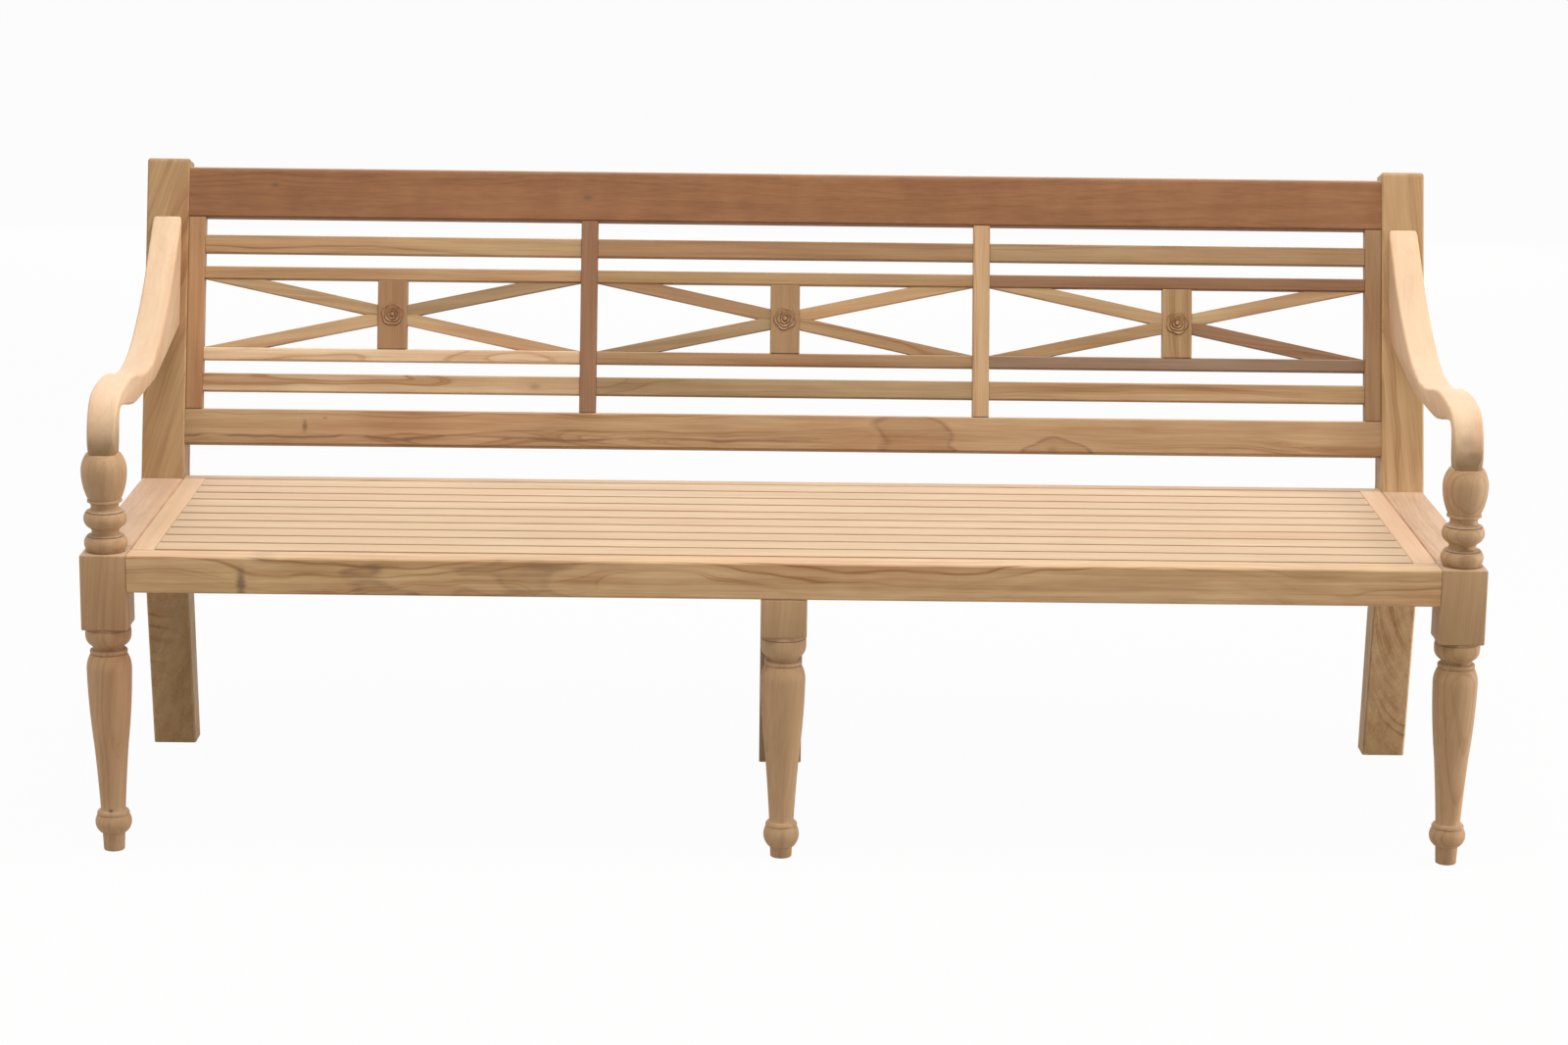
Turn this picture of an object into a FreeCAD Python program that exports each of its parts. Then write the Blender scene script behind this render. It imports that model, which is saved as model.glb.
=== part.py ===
import FreeCAD, Part

import math
import os

from FreeCAD import Vector

# Teak bench with a leaning, three-bay back, swan-neck arms and turned front legs.
# Millimetres. X runs along the bench, +Y runs from the front to the back, +Z is up.
# Every piece is drawn with Y = 0 at the front face of the front legs and Z = 0 at the floor,
# and the finished bench is moved so that the origin is under the middle of it.

# Main sizes
overall_length = 2000.0
seat_height = 444.0
seat_depth = 532.0
back_lean_degrees = 16.0
post_length_above_seat = 503.0

# Stock
leg_width = 66.0
rail_height = 54.0
front_rail_thickness = 42.0
back_rail_thickness = 24.0
back_rail_setback = 4.0
frame_edge_bevel = 2.5
slat_edge_bevel = 1.5

# Joints
fit_gap = 0.2
tenon_thickness = 14.0
tenon_length = 30.0
tenon_shoulder = 9.0
back_rail_tenon_thickness = 10.0
back_rail_tenon_length = 22.0
leg_tenon_length = 26.0
stub_thickness = 9.0
stub_length = 10.0
stub_shoulder = 4.0
back_stub_length = 5.0

# Front legs
block_height = 110.0
middle_block_height = 56.0
block_corner_cut = 3.0
arm_tenon_radius = 11.0
arm_tenon_length = 28.0

# A turning is built of narrow flats, which keeps it light: so many round the axis, and down a
# curve enough for each to turn from the last by no more than the flats' turn.
turned_sides = 32
flat_turn_degrees = 24.0

# What is turned, from the top down: drop, radius at its end, and how far the stretch swells.
arm_post_top_radius = 24.5
arm_post_turning = [
    (32.5, 32.4, 2.2),
    (38.0, 23.4, 2.6),
    (3.5, 24.2, 0.0),
    (3.5, 20.6, 0.0),
    (5.0, 27.8, 0.0),
    (22.0, 26.0, 5.6),
    (3.5, 21.3, 0.0),
    (2.5, 25.6, 0.0),
    (6.2, 28.2, 0.0),
]
arm_post_base_radius = 26.5
arm_post_base_swell = 4.5
cup_top_radius = 32.4
cup_turning = [
    (14.0, 32.6, 0.0),
    (13.5, 24.5, 1.8),
    (4.0, 21.4, 0.0),
    (3.0, 26.2, 0.0),
    (5.5, 26.2, 0.0),
    (26.0, 32.1, 2.0),
]
taper_end_radius = 17.8
foot_turning = [
    (3.8, 22.0, 0.0),
    (33.2, 16.2, 8.0),
    (25.5, 14.5, 0.0),
]
middle_foot_turning = [
    (4.0, 21.6, 0.0),
    (38.0, 16.0, 7.6),
    (14.0, 15.4, 0.0),
]

# Back legs
foot_splay = 60.0
foot_thickness = 49.0
back_leg_bow = 2.0
post_top_thickness = 48.0
post_top_round = 7.0

# Seat
slat_count = 10
slat_thickness = 18.0
slat_gap = 5.0
end_board_width = 34.0
end_board_thickness = 32.0
bearer_width = 44.0
side_bearer_offset = 455.0

# Back
back_face_recess = 2.0
top_rail_height = 79.0
top_rail_thickness = 30.0
top_rail_round = 7.0
post_rise_above_top_rail = 13.0
lower_rail_height = 55.5
lower_rail_thickness = 30.0
lower_rail_above_seat = 55.0
upright_width = 26.0
upright_thickness = 22.0
back_slat_height = 28.6
back_slat_thickness = 18.0
back_slat_gap = 27.5
panel_rail_height = 20.0
panel_rail_thickness = 18.0
panel_rail_gap = 20.5
thin_piece_recess = 3.0
lath_width = 19.5
lath_thickness = 14.0
lath_housing = 5.0
lath_reach_past_middle = 4.0
centre_board_width = 46.0
centre_board_thickness = 22.0
centre_board_stand_off = 1.0

# Arms, with heights above the top of the arm posts
arm_post_height = 141.5
arm_width = 45.0
arm_edge_bevel = 3.0
arm_front_setback = 11.0
arm_neck_width = 38.5
arm_neck_depth = 43.0
arm_neck_foot_radius = 21.5
arm_neck_round_height = 26.0
arm_neck_front_height = 10.5
arm_crook_height = 60.0
arm_crook_radius = 14.0
arm_widening_upwards = 0.033
arm_widening_backwards = 0.011
arm_post_tenon_height = 90.0
arm_post_tenon_length = 22.0

# The swan-neck outline of an arm, from the front: radius of each bend, as a share of the arm's
# reach from its front to the back posts, and its turn in degrees. A turn upwards is positive.
arm_top_bends = [(0.1132, -20.5), (0.1536, -59.2), (0.739, -22.5), (0.6046, 35.4), (1.1804, 16.4)]
arm_underside_bends = [(0.4223, -12.6), (1.2035, 16.8), (1.9386, 5.8)]

# Derived places
half_length = overall_length / 2
inner_half = half_length - leg_width
leg_axis_x = half_length - leg_width / 2
leg_axis_y = leg_width / 2
rail_bottom = seat_height - rail_height
rail_z = (rail_bottom, seat_height)
block_bottom = seat_height - block_height
middle_block_bottom = rail_bottom - middle_block_height
slat_bottom = seat_height - slat_thickness
back_rail_front = seat_depth + back_rail_setback
back_rail_middle = back_rail_front + back_rail_thickness / 2
slat_end = inner_half - end_board_width
lean = math.radians(back_lean_degrees)

top_rail_top = post_length_above_seat - post_rise_above_top_rail
top_rail_bottom = top_rail_top - top_rail_height
lower_rail_top = lower_rail_above_seat + lower_rail_height
upper_slat_bottom = top_rail_bottom - back_slat_gap - back_slat_height
lower_slat_bottom = lower_rail_top + back_slat_gap
upper_panel_bottom = upper_slat_bottom - panel_rail_gap - panel_rail_height
lower_panel_bottom = lower_slat_bottom + back_slat_height + panel_rail_gap
lower_panel_top = lower_panel_bottom + panel_rail_height
panel_middle = (upper_panel_bottom + lower_panel_top) / 2
thin_face = back_face_recess + thin_piece_recess
bay_width = (2 * inner_half - 4 * upright_width) / 3
bay_step = bay_width + upright_width

arm_bottom = seat_height + arm_post_height
arm_reach = seat_depth - arm_front_setback

x_way = Vector(1, 0, 0)
y_way = Vector(0, 1, 0)
z_way = Vector(0, 0, 1)


def block(x, y, z):
    """A box between three (low, high) pairs."""
    corner = Vector(x[0], y[0], z[0])
    return Part.makeBox(x[1] - x[0], y[1] - y[0], z[1] - z[0], corner)


def around(middle, size):
    """The (low, high) pair of a size centred on a middle."""
    return (middle - size / 2, middle + size / 2)


def inset(pair, shoulder):
    """A (low, high) pair brought in by a shoulder at both ends."""
    return (pair[0] + shoulder, pair[1] - shoulder)


def mortise(x, y, z):
    """The hole for a tenon: the tenon's box with the fitting gap all round."""
    return block(inset(x, -fit_gap), inset(y, -fit_gap), inset(z, -fit_gap))


def eased_along(shape, bevel, way):
    """Takes the sharpness off the straight edges that run one way."""
    edges = [edge for edge in shape.Edges if runs_along(edge, way)]
    return shape.makeChamfer(bevel, edges)


def runs_along(edge, way):
    """Whether an edge is straight and runs one way."""
    run = edge.Vertexes[-1].Point - edge.Vertexes[0].Point
    return run.Length > 0 and abs(run.normalize() * way) > 0.9999


def leaned(shape):
    """Places a piece of the back, drawn upright from Y = 0 at the posts' faces and Z = 0 at the seat."""
    placed = shape.copy()
    placed.rotate(Vector(0, 0, 0), x_way, -back_lean_degrees)
    placed.translate(Vector(0, seat_depth, seat_height))
    return placed


def mirrored(shape):
    """The same piece at the other end of the bench."""
    return shape.mirror(Vector(0, 0, 0), x_way)


def flats(start, end, swell):
    """The ends of the flats along a straight stretch, or along an arc that stands off its chord by the swell."""
    if swell == 0:
        return [end]
    chord = end - start
    outward = Vector(-chord.z, 0, chord.x).normalize()
    arc = Part.Arc(start, (start + end) * 0.5 + outward * swell, end).toShape()
    turn = 4 * math.atan(2 * swell / chord.Length)
    count = math.ceil(math.degrees(turn) / flat_turn_degrees)
    return arc.discretize(count + 1)[1:]


def ring(radius, height):
    """The corners of a many-sided ring about the Z axis, back to the first."""
    turns = [2 * math.pi * side / turned_sides for side in range(turned_sides)]
    corners = [Vector(radius * math.cos(turn), radius * math.sin(turn), height) for turn in turns]
    return corners + corners[:1]


def flat_face(corners):
    """The flat face inside a closed run of corners."""
    return Part.Face(Part.makePolygon(corners))


def turned(top, top_radius, steps):
    """A turning about the Z axis, from its top down through its steps."""
    outline = [Vector(top_radius, 0, top)]
    for drop, radius, swell in steps:
        start = outline[-1]
        outline += flats(start, Vector(radius, 0, start.z - drop), swell)
    rings = [ring(point.x, point.z) for point in outline]
    faces = [flat_face(rings[0]), flat_face(rings[-1])]
    for upper, lower in zip(rings, rings[1:]):
        for side in range(turned_sides):
            corners = upper[side:side + 2] + lower[side:side + 2][::-1]
            faces.append(flat_face(corners + corners[:1]))
    return Part.Solid(Part.Shell(faces))


def turning_height(steps):
    """How far a list of turning steps comes down."""
    return sum(step[0] for step in steps)


def leg_block(bottom, height):
    """A leg's square block, with the foot of its corners turned away where the turning begins."""
    across = around(0, leg_width)
    body = eased_along(block(across, across, (bottom, bottom + height)), frame_edge_bevel, z_way)
    corner = leg_width / 2 * math.sqrt(2)
    rise = bottom + block_corner_cut
    foot = turned(rise, corner, [(block_corner_cut, corner - block_corner_cut, 0)])
    return body.common(foot.fuse(block(across, across, (rise, bottom + height))))


def lower_leg(bottom, foot):
    """The turned part from a block down to the floor: cup, bead, long tapered vase, ball and stub foot."""
    taper = bottom - turning_height(cup_turning) - turning_height(foot)
    return turned(bottom, cup_top_radius, cup_turning + [(taper, taper_end_radius, 0)] + foot)


def arm_post():
    """The turned vase and rings between a leg's block and the arm."""
    base = (arm_post_height - turning_height(arm_post_turning), arm_post_base_radius, arm_post_base_swell)
    return turned(arm_bottom, arm_post_top_radius, arm_post_turning + [base])


def front_leg():
    """The right front leg in one stick, from its foot to the round tenon that holds the arm."""
    tenon = Part.makeCylinder(arm_tenon_radius, arm_tenon_length, Vector(0, 0, arm_bottom))
    body = leg_block(block_bottom, block_height)
    leg = body.multiFuse([lower_leg(block_bottom, foot_turning), arm_post(), tenon]).removeSplitter()
    leg.translate(Vector(leg_axis_x, leg_axis_y, 0))
    leg = leg.cut(mortise(*front_rail_tenon()))
    return leg.cut(mortise(*side_rail_tenon(leg_width - tenon_length, leg_width)))


def front_middle_leg():
    """The short-blocked leg under the middle of the front rail, tenoned up into it."""
    body = leg_block(middle_block_bottom, middle_block_height)
    leg = body.fuse(lower_leg(middle_block_bottom, middle_foot_turning)).removeSplitter()
    leg.translate(Vector(0, leg_axis_y, 0))
    return leg.fuse(block(*front_middle_tenon()))


def bowed_edge(foot, knee):
    """A slightly bowed edge from the foot up to the knee."""
    middle = (foot + knee) * 0.5 - y_way * back_leg_bow
    return Part.Arc(foot, middle, knee).toShape()


def on_post_face(height):
    """The point on the back posts' front face at a height above the seat."""
    return Vector(0, seat_depth + height * math.tan(lean), seat_height + height)


def back_leg_profile():
    """The outline of a back leg: a splayed leg and a leaning, tapering back post in one kneed piece."""
    foot_front = Vector(0, seat_depth + foot_splay, 0)
    foot_rear = foot_front + Vector(0, foot_thickness, 0)
    knee_front = Vector(0, seat_depth, rail_bottom)
    knee_rear = Vector(0, seat_depth + leg_width, rail_bottom)
    bend_rear = Vector(0, seat_depth + leg_width, seat_height)
    top_front = on_post_face(post_length_above_seat * math.cos(lean))
    top_rear = top_front + Vector(0, math.cos(lean), -math.sin(lean)) * post_top_thickness
    upper = Part.makePolygon([knee_front, on_post_face(0), top_front, top_rear, bend_rear, knee_rear])
    sole = Part.LineSegment(foot_rear, foot_front).toShape()
    edges = upper.Edges + [bowed_edge(foot_front, knee_front), bowed_edge(foot_rear, knee_rear), sole]
    return Part.Face(Part.Wire(Part.__sortEdges__(edges)))


def back_leg():
    """The right back leg with its softened edges and its mortises."""
    leg = back_leg_profile().extrude(x_way * leg_width)
    upper_half = seat_height + post_length_above_seat / 2
    top_edges = [edge for edge in leg.Edges if runs_along(edge, x_way) and edge.CenterOfMass.z > upper_half]
    leg = leg.makeFillet(post_top_round, top_edges)
    leg = leg.makeChamfer(frame_edge_bevel, side_edges(leg))
    leg.translate(x_way * inner_half)
    for tenon in (back_rail_tenon(), side_rail_tenon(seat_depth, seat_depth + tenon_length)):
        leg = leg.cut(mortise(*tenon))
    for tenon in (top_rail_tenon(), lower_rail_tenon(), arm_tenon()):
        leg = leg.cut(leaned(mortise(*tenon)))
    return leg


def side_edges(shape):
    """The edges round the side faces of a sawn piece, without those along its level ends."""
    return [edge for edge in shape.Edges if not runs_along(edge, x_way) and not runs_along(edge, y_way)]


def back_middle_leg():
    """The plain square leg under the middle of the back rail, tenoned up into it."""
    leg = block(around(0, leg_width), around(back_rail_middle, leg_width), (0, rail_bottom))
    leg = eased_along(leg, frame_edge_bevel, z_way)
    return leg.fuse(block(*back_middle_tenon()))


def front_rail_tenon():
    """The right tenon of the front rail."""
    y = around(front_rail_thickness / 2, tenon_thickness)
    return (inner_half, inner_half + tenon_length), y, inset(rail_z, tenon_shoulder)


def back_rail_tenon():
    """The right tenon of the back rail."""
    y = around(back_rail_middle, back_rail_tenon_thickness)
    return (inner_half, inner_half + back_rail_tenon_length), y, inset(rail_z, tenon_shoulder)


def side_rail_tenon(start, end):
    """A tenon of the right side rail, between two depths."""
    return around(leg_axis_x, tenon_thickness), (start, end), inset(rail_z, tenon_shoulder)


def front_middle_tenon():
    """The tenon that holds the front middle leg in the front rail."""
    x = inset(around(0, leg_width), tenon_shoulder)
    y = around(front_rail_thickness / 2, tenon_thickness)
    return x, y, (rail_bottom, rail_bottom + leg_tenon_length)


def back_middle_tenon():
    """The tenon that holds the back middle leg in the back rail."""
    x = inset(around(0, leg_width), tenon_shoulder)
    y = around(back_rail_middle, back_rail_tenon_thickness)
    return x, y, (rail_bottom, rail_bottom + leg_tenon_length)


def across_seat_stubs(x, z):
    """The two stub tenons of a piece that runs from the front rail to the back rail."""
    x = inset(x, stub_shoulder)
    z = around((z[0] + z[1]) / 2, stub_thickness)
    front = (front_rail_thickness - stub_length, front_rail_thickness)
    back = (back_rail_front, back_rail_front + back_stub_length)
    return (x, front, z), (x, back, z)


def across_seat(x, z):
    """A piece from the front rail to the back rail, with its stub tenons."""
    body = block(x, (front_rail_thickness, back_rail_front), z)
    body = eased_along(body, slat_edge_bevel, y_way)
    return body.multiFuse([block(*stub) for stub in across_seat_stubs(x, z)])


def bearer_places():
    """Name, X and Z of each bearer under the slats."""
    z = (rail_bottom, slat_bottom)
    for name, offset in (("left", -side_bearer_offset), ("middle", 0), ("right", side_bearer_offset)):
        yield name, around(offset, bearer_width), z


def end_board_place():
    """X and Z of the right end board."""
    return (slat_end, inner_half), (seat_height - end_board_thickness, seat_height)


def seat_stub_mortises():
    """The holes in the front and back rails for the bearers and the end boards."""
    x, z = end_board_place()
    places = [(x, z), ((-x[1], -x[0]), z)] + [place[1:] for place in bearer_places()]
    return [mortise(*stub) for place in places for stub in across_seat_stubs(*place)]


def seat_rail(y, tenon, middle_tenon):
    """A rail along the bench, between the legs of one row."""
    rail = block((-inner_half, inner_half), y, rail_z)
    rail = eased_along(rail, frame_edge_bevel, x_way)
    right = block(*tenon)
    rail = rail.multiFuse([right, mirrored(right)])
    return rail.cut([mortise(*middle_tenon)] + seat_stub_mortises())


def side_rail():
    """The right side rail, whose top is part of the seat."""
    rail = block((inner_half, half_length), (leg_width, seat_depth), rail_z)
    rail = eased_along(rail, frame_edge_bevel, y_way)
    front = block(*side_rail_tenon(leg_width - tenon_length, leg_width))
    rear = block(*side_rail_tenon(seat_depth, seat_depth + tenon_length))
    return rail.multiFuse([front, rear])


def slat_width():
    """The width that the slats share out between the rails."""
    room = back_rail_front - front_rail_thickness - (slat_count + 1) * slat_gap
    return room / slat_count


def slat_y(index):
    """The depths between which a slat lies, counted from the front."""
    start = front_rail_thickness + slat_gap + index * (slat_width() + slat_gap)
    return (start, start + slat_width())


def slat_stub(index):
    """The right stub tenon of a slat."""
    z = around((slat_bottom + seat_height) / 2, stub_thickness)
    return (slat_end, slat_end + stub_length), inset(slat_y(index), stub_shoulder), z


def end_board():
    """The right end board, which takes the slats' ends."""
    board = across_seat(*end_board_place())
    return board.cut([mortise(*slat_stub(index)) for index in range(slat_count)])


def seat_slat(index):
    """One slat along the seat."""
    slat = block((-slat_end, slat_end), slat_y(index), (slat_bottom, seat_height))
    slat = eased_along(slat, slat_edge_bevel, x_way)
    right = block(*slat_stub(index))
    return slat.multiFuse([right, mirrored(right)])


def rail_tenon(thickness, z):
    """The right tenon of a rail of the back."""
    y = around(back_face_recess + thickness / 2, tenon_thickness)
    return (inner_half, inner_half + tenon_length), y, inset(z, tenon_shoulder)


def top_rail_tenon():
    """The right tenon of the top rail."""
    return rail_tenon(top_rail_thickness, (top_rail_bottom, top_rail_top))


def lower_rail_tenon():
    """The right tenon of the lower back rail."""
    return rail_tenon(lower_rail_thickness, (lower_rail_above_seat, lower_rail_top))


def upright_stubs(x):
    """The stub tenons at the foot and the head of a stile or muntin."""
    x = inset(x, stub_shoulder)
    y = around(back_face_recess + upright_thickness / 2, stub_thickness)
    foot = (x, y, (lower_rail_top - stub_length, lower_rail_top))
    return foot, (x, y, (top_rail_bottom, top_rail_bottom + stub_length))


def upright_places():
    """Name and X of each stile and muntin."""
    for name, middle in (
        ("stile_left", -inner_half + upright_width / 2),
        ("muntin_left", -bay_step / 2),
        ("muntin_right", bay_step / 2),
        ("stile_right", inner_half - upright_width / 2),
    ):
        yield name, around(middle, upright_width)


def back_board(z, thickness):
    """A plain board from post to post across the back."""
    return block((-inner_half, inner_half), (back_face_recess, back_face_recess + thickness), z)


def with_back_joints(rail, tenon):
    """A rail of the back with its tenons and with the mortises of the stiles and muntins, leaned back."""
    right = block(*tenon)
    rail = rail.multiFuse([right, mirrored(right)])
    stubs = [stub for place in upright_places() for stub in upright_stubs(place[1])]
    return leaned(rail.cut([mortise(*stub) for stub in stubs]))


def top_rail():
    """The top rail, with its upper edges well rounded."""
    rail = back_board((top_rail_bottom, top_rail_top), top_rail_thickness)
    middle = (top_rail_bottom + top_rail_top) / 2
    upper = [edge for edge in rail.Edges if runs_along(edge, x_way) and edge.CenterOfMass.z > middle]
    rail = rail.makeFillet(top_rail_round, upper)
    lower = [edge for edge in rail.Edges if runs_along(edge, x_way) and edge.CenterOfMass.z < middle]
    rail = rail.makeChamfer(frame_edge_bevel, lower)
    return with_back_joints(rail, top_rail_tenon())


def lower_back_rail():
    """The lower rail of the back, which stands clear of the seat."""
    rail = back_board((lower_rail_above_seat, lower_rail_top), lower_rail_thickness)
    return with_back_joints(eased_along(rail, frame_edge_bevel, x_way), lower_rail_tenon())


def crosspieces():
    """Name, thickness and Z of the four straight pieces of a bay."""
    for name, thickness, height, bottom in (
        ("upper_slat", back_slat_thickness, back_slat_height, upper_slat_bottom),
        ("upper_panel_rail", panel_rail_thickness, panel_rail_height, upper_panel_bottom),
        ("lower_panel_rail", panel_rail_thickness, panel_rail_height, lower_panel_bottom),
        ("lower_slat", back_slat_thickness, back_slat_height, lower_slat_bottom),
    ):
        yield name, thickness, (bottom, bottom + height)


def crosspiece_stubs(middle, thickness, z):
    """The stub tenons at both ends of a bay's straight piece."""
    y = around(thin_face + thickness / 2, stub_thickness)
    z = inset(z, stub_shoulder)
    left = (middle - bay_width / 2 - stub_length, middle - bay_width / 2)
    right = (middle + bay_width / 2, middle + bay_width / 2 + stub_length)
    return (left, y, z), (right, y, z)


def board_stubs(middle):
    """The stub tenons at the foot and the head of a bay's centre board."""
    x = inset(around(middle, centre_board_width), tenon_shoulder)
    y = around(thin_face + panel_rail_thickness / 2, stub_thickness)
    foot = (x, y, (lower_panel_top - stub_length, lower_panel_top))
    return foot, (x, y, (upper_panel_bottom, upper_panel_bottom + stub_length))


def crosspiece(middle, thickness, z):
    """A slat or panel rail across one bay."""
    piece = block(around(middle, bay_width), (thin_face, thin_face + thickness), z)
    piece = eased_along(piece, slat_edge_bevel, x_way)
    piece = piece.multiFuse([block(*stub) for stub in crosspiece_stubs(middle, thickness, z)])
    return leaned(piece.cut([mortise(*stub) for stub in board_stubs(middle)]))


def upright(x):
    """A stile or muntin, with the stub mortises of the bays beside it."""
    y = (back_face_recess, back_face_recess + upright_thickness)
    post = block(x, y, (lower_rail_top, top_rail_bottom))
    post = eased_along(post, slat_edge_bevel, z_way)
    post = post.multiFuse([block(*stub) for stub in upright_stubs(x)])
    holes = []
    for _, middle in bays():
        for _, thickness, z in crosspieces():
            holes += [mortise(*stub) for stub in crosspiece_stubs(middle, thickness, z)]
    return leaned(post.cut(holes))


def bays():
    """Name and middle of each bay of the back."""
    return (("left", -bay_step), ("middle", 0), ("right", bay_step))


def lath_shape(gap):
    """The upper left lath of a bay, drawn about the middle of the bay's panel, with a gap all round."""
    left = -bay_width / 2
    board = -centre_board_width / 2
    rise = (upper_panel_bottom - lower_panel_top) / 2
    fall = (rise + lath_reach_past_middle) / (board - left)
    slant = math.sqrt(1 + fall * fall)
    low = -gap * slant
    high = (lath_width + gap) * slant
    y = thin_face + (panel_rail_thickness - lath_thickness) / 2 - gap
    far = board + lath_housing + gap
    drop = fall * (far - left)
    corners = [
        Vector(left, y, rise + low),
        Vector(far, y, rise + low - drop),
        Vector(far, y, rise + high - drop),
        Vector(left, y, rise + high),
    ]
    strip = Part.Face(Part.makePolygon(corners + corners[:1])).extrude(y_way * (lath_thickness + 2 * gap))
    window = block((left, far), (y, y + lath_thickness + 2 * gap), (-gap, rise))
    return strip.common(window)


def laths(middle, gap):
    """Name and shape of the four laths of a bay."""
    first = lath_shape(gap)
    across = first.mirror(Vector(0, 0, 0), x_way)
    for level, left, right in (
        ("upper", first, across),
        ("lower", first.mirror(Vector(0, 0, 0), z_way), across.mirror(Vector(0, 0, 0), z_way)),
    ):
        for side, lath in (("left", left), ("right", right)):
            placed = lath.copy()
            placed.translate(Vector(middle, 0, panel_middle))
            yield level + "_" + side, placed


def centre_board(middle):
    """The upright board in the middle of a bay's panel, housed out for the laths' ends."""
    front = thin_face - centre_board_stand_off
    y = (front, front + centre_board_thickness)
    board = block(around(middle, centre_board_width), y, (lower_panel_top, upper_panel_bottom))
    board = eased_along(board, slat_edge_bevel, z_way)
    board = board.multiFuse([block(*stub) for stub in board_stubs(middle)])
    return leaned(board.cut([lath for _, lath in laths(middle, fit_gap)]))


def heading_along(degrees):
    """The way along a heading in the Y-Z plane, counted up from level."""
    return Vector(0, math.cos(math.radians(degrees)), math.sin(math.radians(degrees)))


def bent_run(start, heading, bends):
    """A run of tangent arcs that ends straight on the back post, and the point where it ends."""
    edges = []
    here = start
    for share, turn in bends:
        radius = math.copysign(share * arm_reach, turn)
        centre = here + heading_along(heading + 90) * radius
        middle = centre - heading_along(heading + 90 + turn / 2) * radius
        end = centre - heading_along(heading + 90 + turn) * radius
        edges.append(Part.Arc(here, middle, end).toShape())
        here = end
        heading += turn
    end = on_post(here, heading_along(heading))
    return edges + [Part.LineSegment(here, end).toShape()], end


def on_post(start, way):
    """Where a straight run meets the back posts' front face."""
    off_face = Vector(0, math.cos(lean), -math.sin(lean))
    return start + way * (((on_post_face(0) - start) * off_face) / (way * off_face))


def arm_top():
    """The arm's upper outline, from the front of its neck."""
    start = Vector(0, arm_front_setback, arm_bottom + arm_neck_front_height)
    return bent_run(start, 90, arm_top_bends)


def arm_underside():
    """The arm's lower outline, from the tight crook behind its neck."""
    crook_y = arm_front_setback + arm_neck_depth + arm_crook_radius
    start = Vector(0, crook_y, arm_bottom + arm_crook_height)
    return bent_run(start, 0, arm_underside_bends)


def arm_neck():
    """The edges of the neck that stands on the arm post, from the crook down and round to its front."""
    front_foot = Vector(0, arm_front_setback, arm_bottom)
    front_top = front_foot + z_way * arm_neck_front_height
    rear_foot = front_foot + y_way * arm_neck_depth
    rear_top = rear_foot + z_way * (arm_crook_height - arm_crook_radius)
    centre = rear_top + y_way * arm_crook_radius
    crook = [centre + heading_along(degrees) * arm_crook_radius for degrees in (90, 135, 180)]
    return [
        Part.Arc(*crook).toShape(),
        Part.LineSegment(rear_top, rear_foot).toShape(),
        Part.LineSegment(rear_foot, front_foot).toShape(),
        Part.LineSegment(front_foot, front_top).toShape(),
    ]


def arm_profile():
    """The swan-neck outline of the arm, sawn from one wide board."""
    top, top_end = arm_top()
    underside, underside_end = arm_underside()
    end = Part.LineSegment(top_end, underside_end).toShape()
    return Part.Face(Part.Wire(Part.__sortEdges__(arm_neck() + top + underside + [end])))


def arm_tenon():
    """The right arm's tenon into the back post, in the leaning frame."""
    middle = (arm_top()[1] + arm_underside()[1]) * 0.5 - on_post_face(0)
    z = around(middle.Length, arm_post_tenon_height)
    return around(leg_axis_x, tenon_thickness), (0, arm_post_tenon_length), z


def planed_off():
    """What is planed off the outer side of the arm's board, so that the arm narrows towards its neck."""
    corners = []
    for y, z in ((0, 0), (seat_depth, 0), (seat_depth, seat_height), (0, seat_height)):
        widening = arm_widening_backwards * (y - leg_axis_y) + arm_widening_upwards * z
        corners.append(Vector(arm_neck_width / 2 + widening, y, arm_bottom + z))
    return Part.Face(Part.makePolygon(corners + corners[:1])).extrude(x_way * arm_width)


def arm():
    """The right arm: swan-neck board with softened edges, a round foot and a tenon into the back post."""
    body = arm_profile().extrude(x_way * arm_width)
    body.translate(x_way * -arm_width / 2)
    body = body.cut([planed_off(), mirrored(planed_off())])
    post_line = on_post_face(seat_height) - on_post_face(0)
    sides = [edge for edge in side_edges(body) if not runs_along(edge, post_line.normalize())]
    body = body.makeChamfer(arm_edge_bevel, sides)
    body.translate(x_way * leg_axis_x)
    socket_radius = arm_tenon_radius + fit_gap
    socket_foot = Vector(leg_axis_x, leg_axis_y, arm_bottom)
    socket = Part.makeCylinder(socket_radius, arm_tenon_length + fit_gap, socket_foot)
    return body.cut([neck_corners(), socket]).fuse(leaned(block(*arm_tenon())))


def neck_corners():
    """What is turned away at the foot of the arm's neck, so that it meets the round arm post."""
    across = around(0, 2 * arm_width)
    room = block(across, across, (0, arm_neck_round_height))
    top_radius = math.hypot(arm_width, arm_neck_depth) / 2
    cone = Part.makeCone(arm_neck_foot_radius, top_radius, arm_neck_round_height)
    corners = room.cut(cone)
    corners.translate(Vector(leg_axis_x, leg_axis_y, arm_bottom))
    return corners


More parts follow.
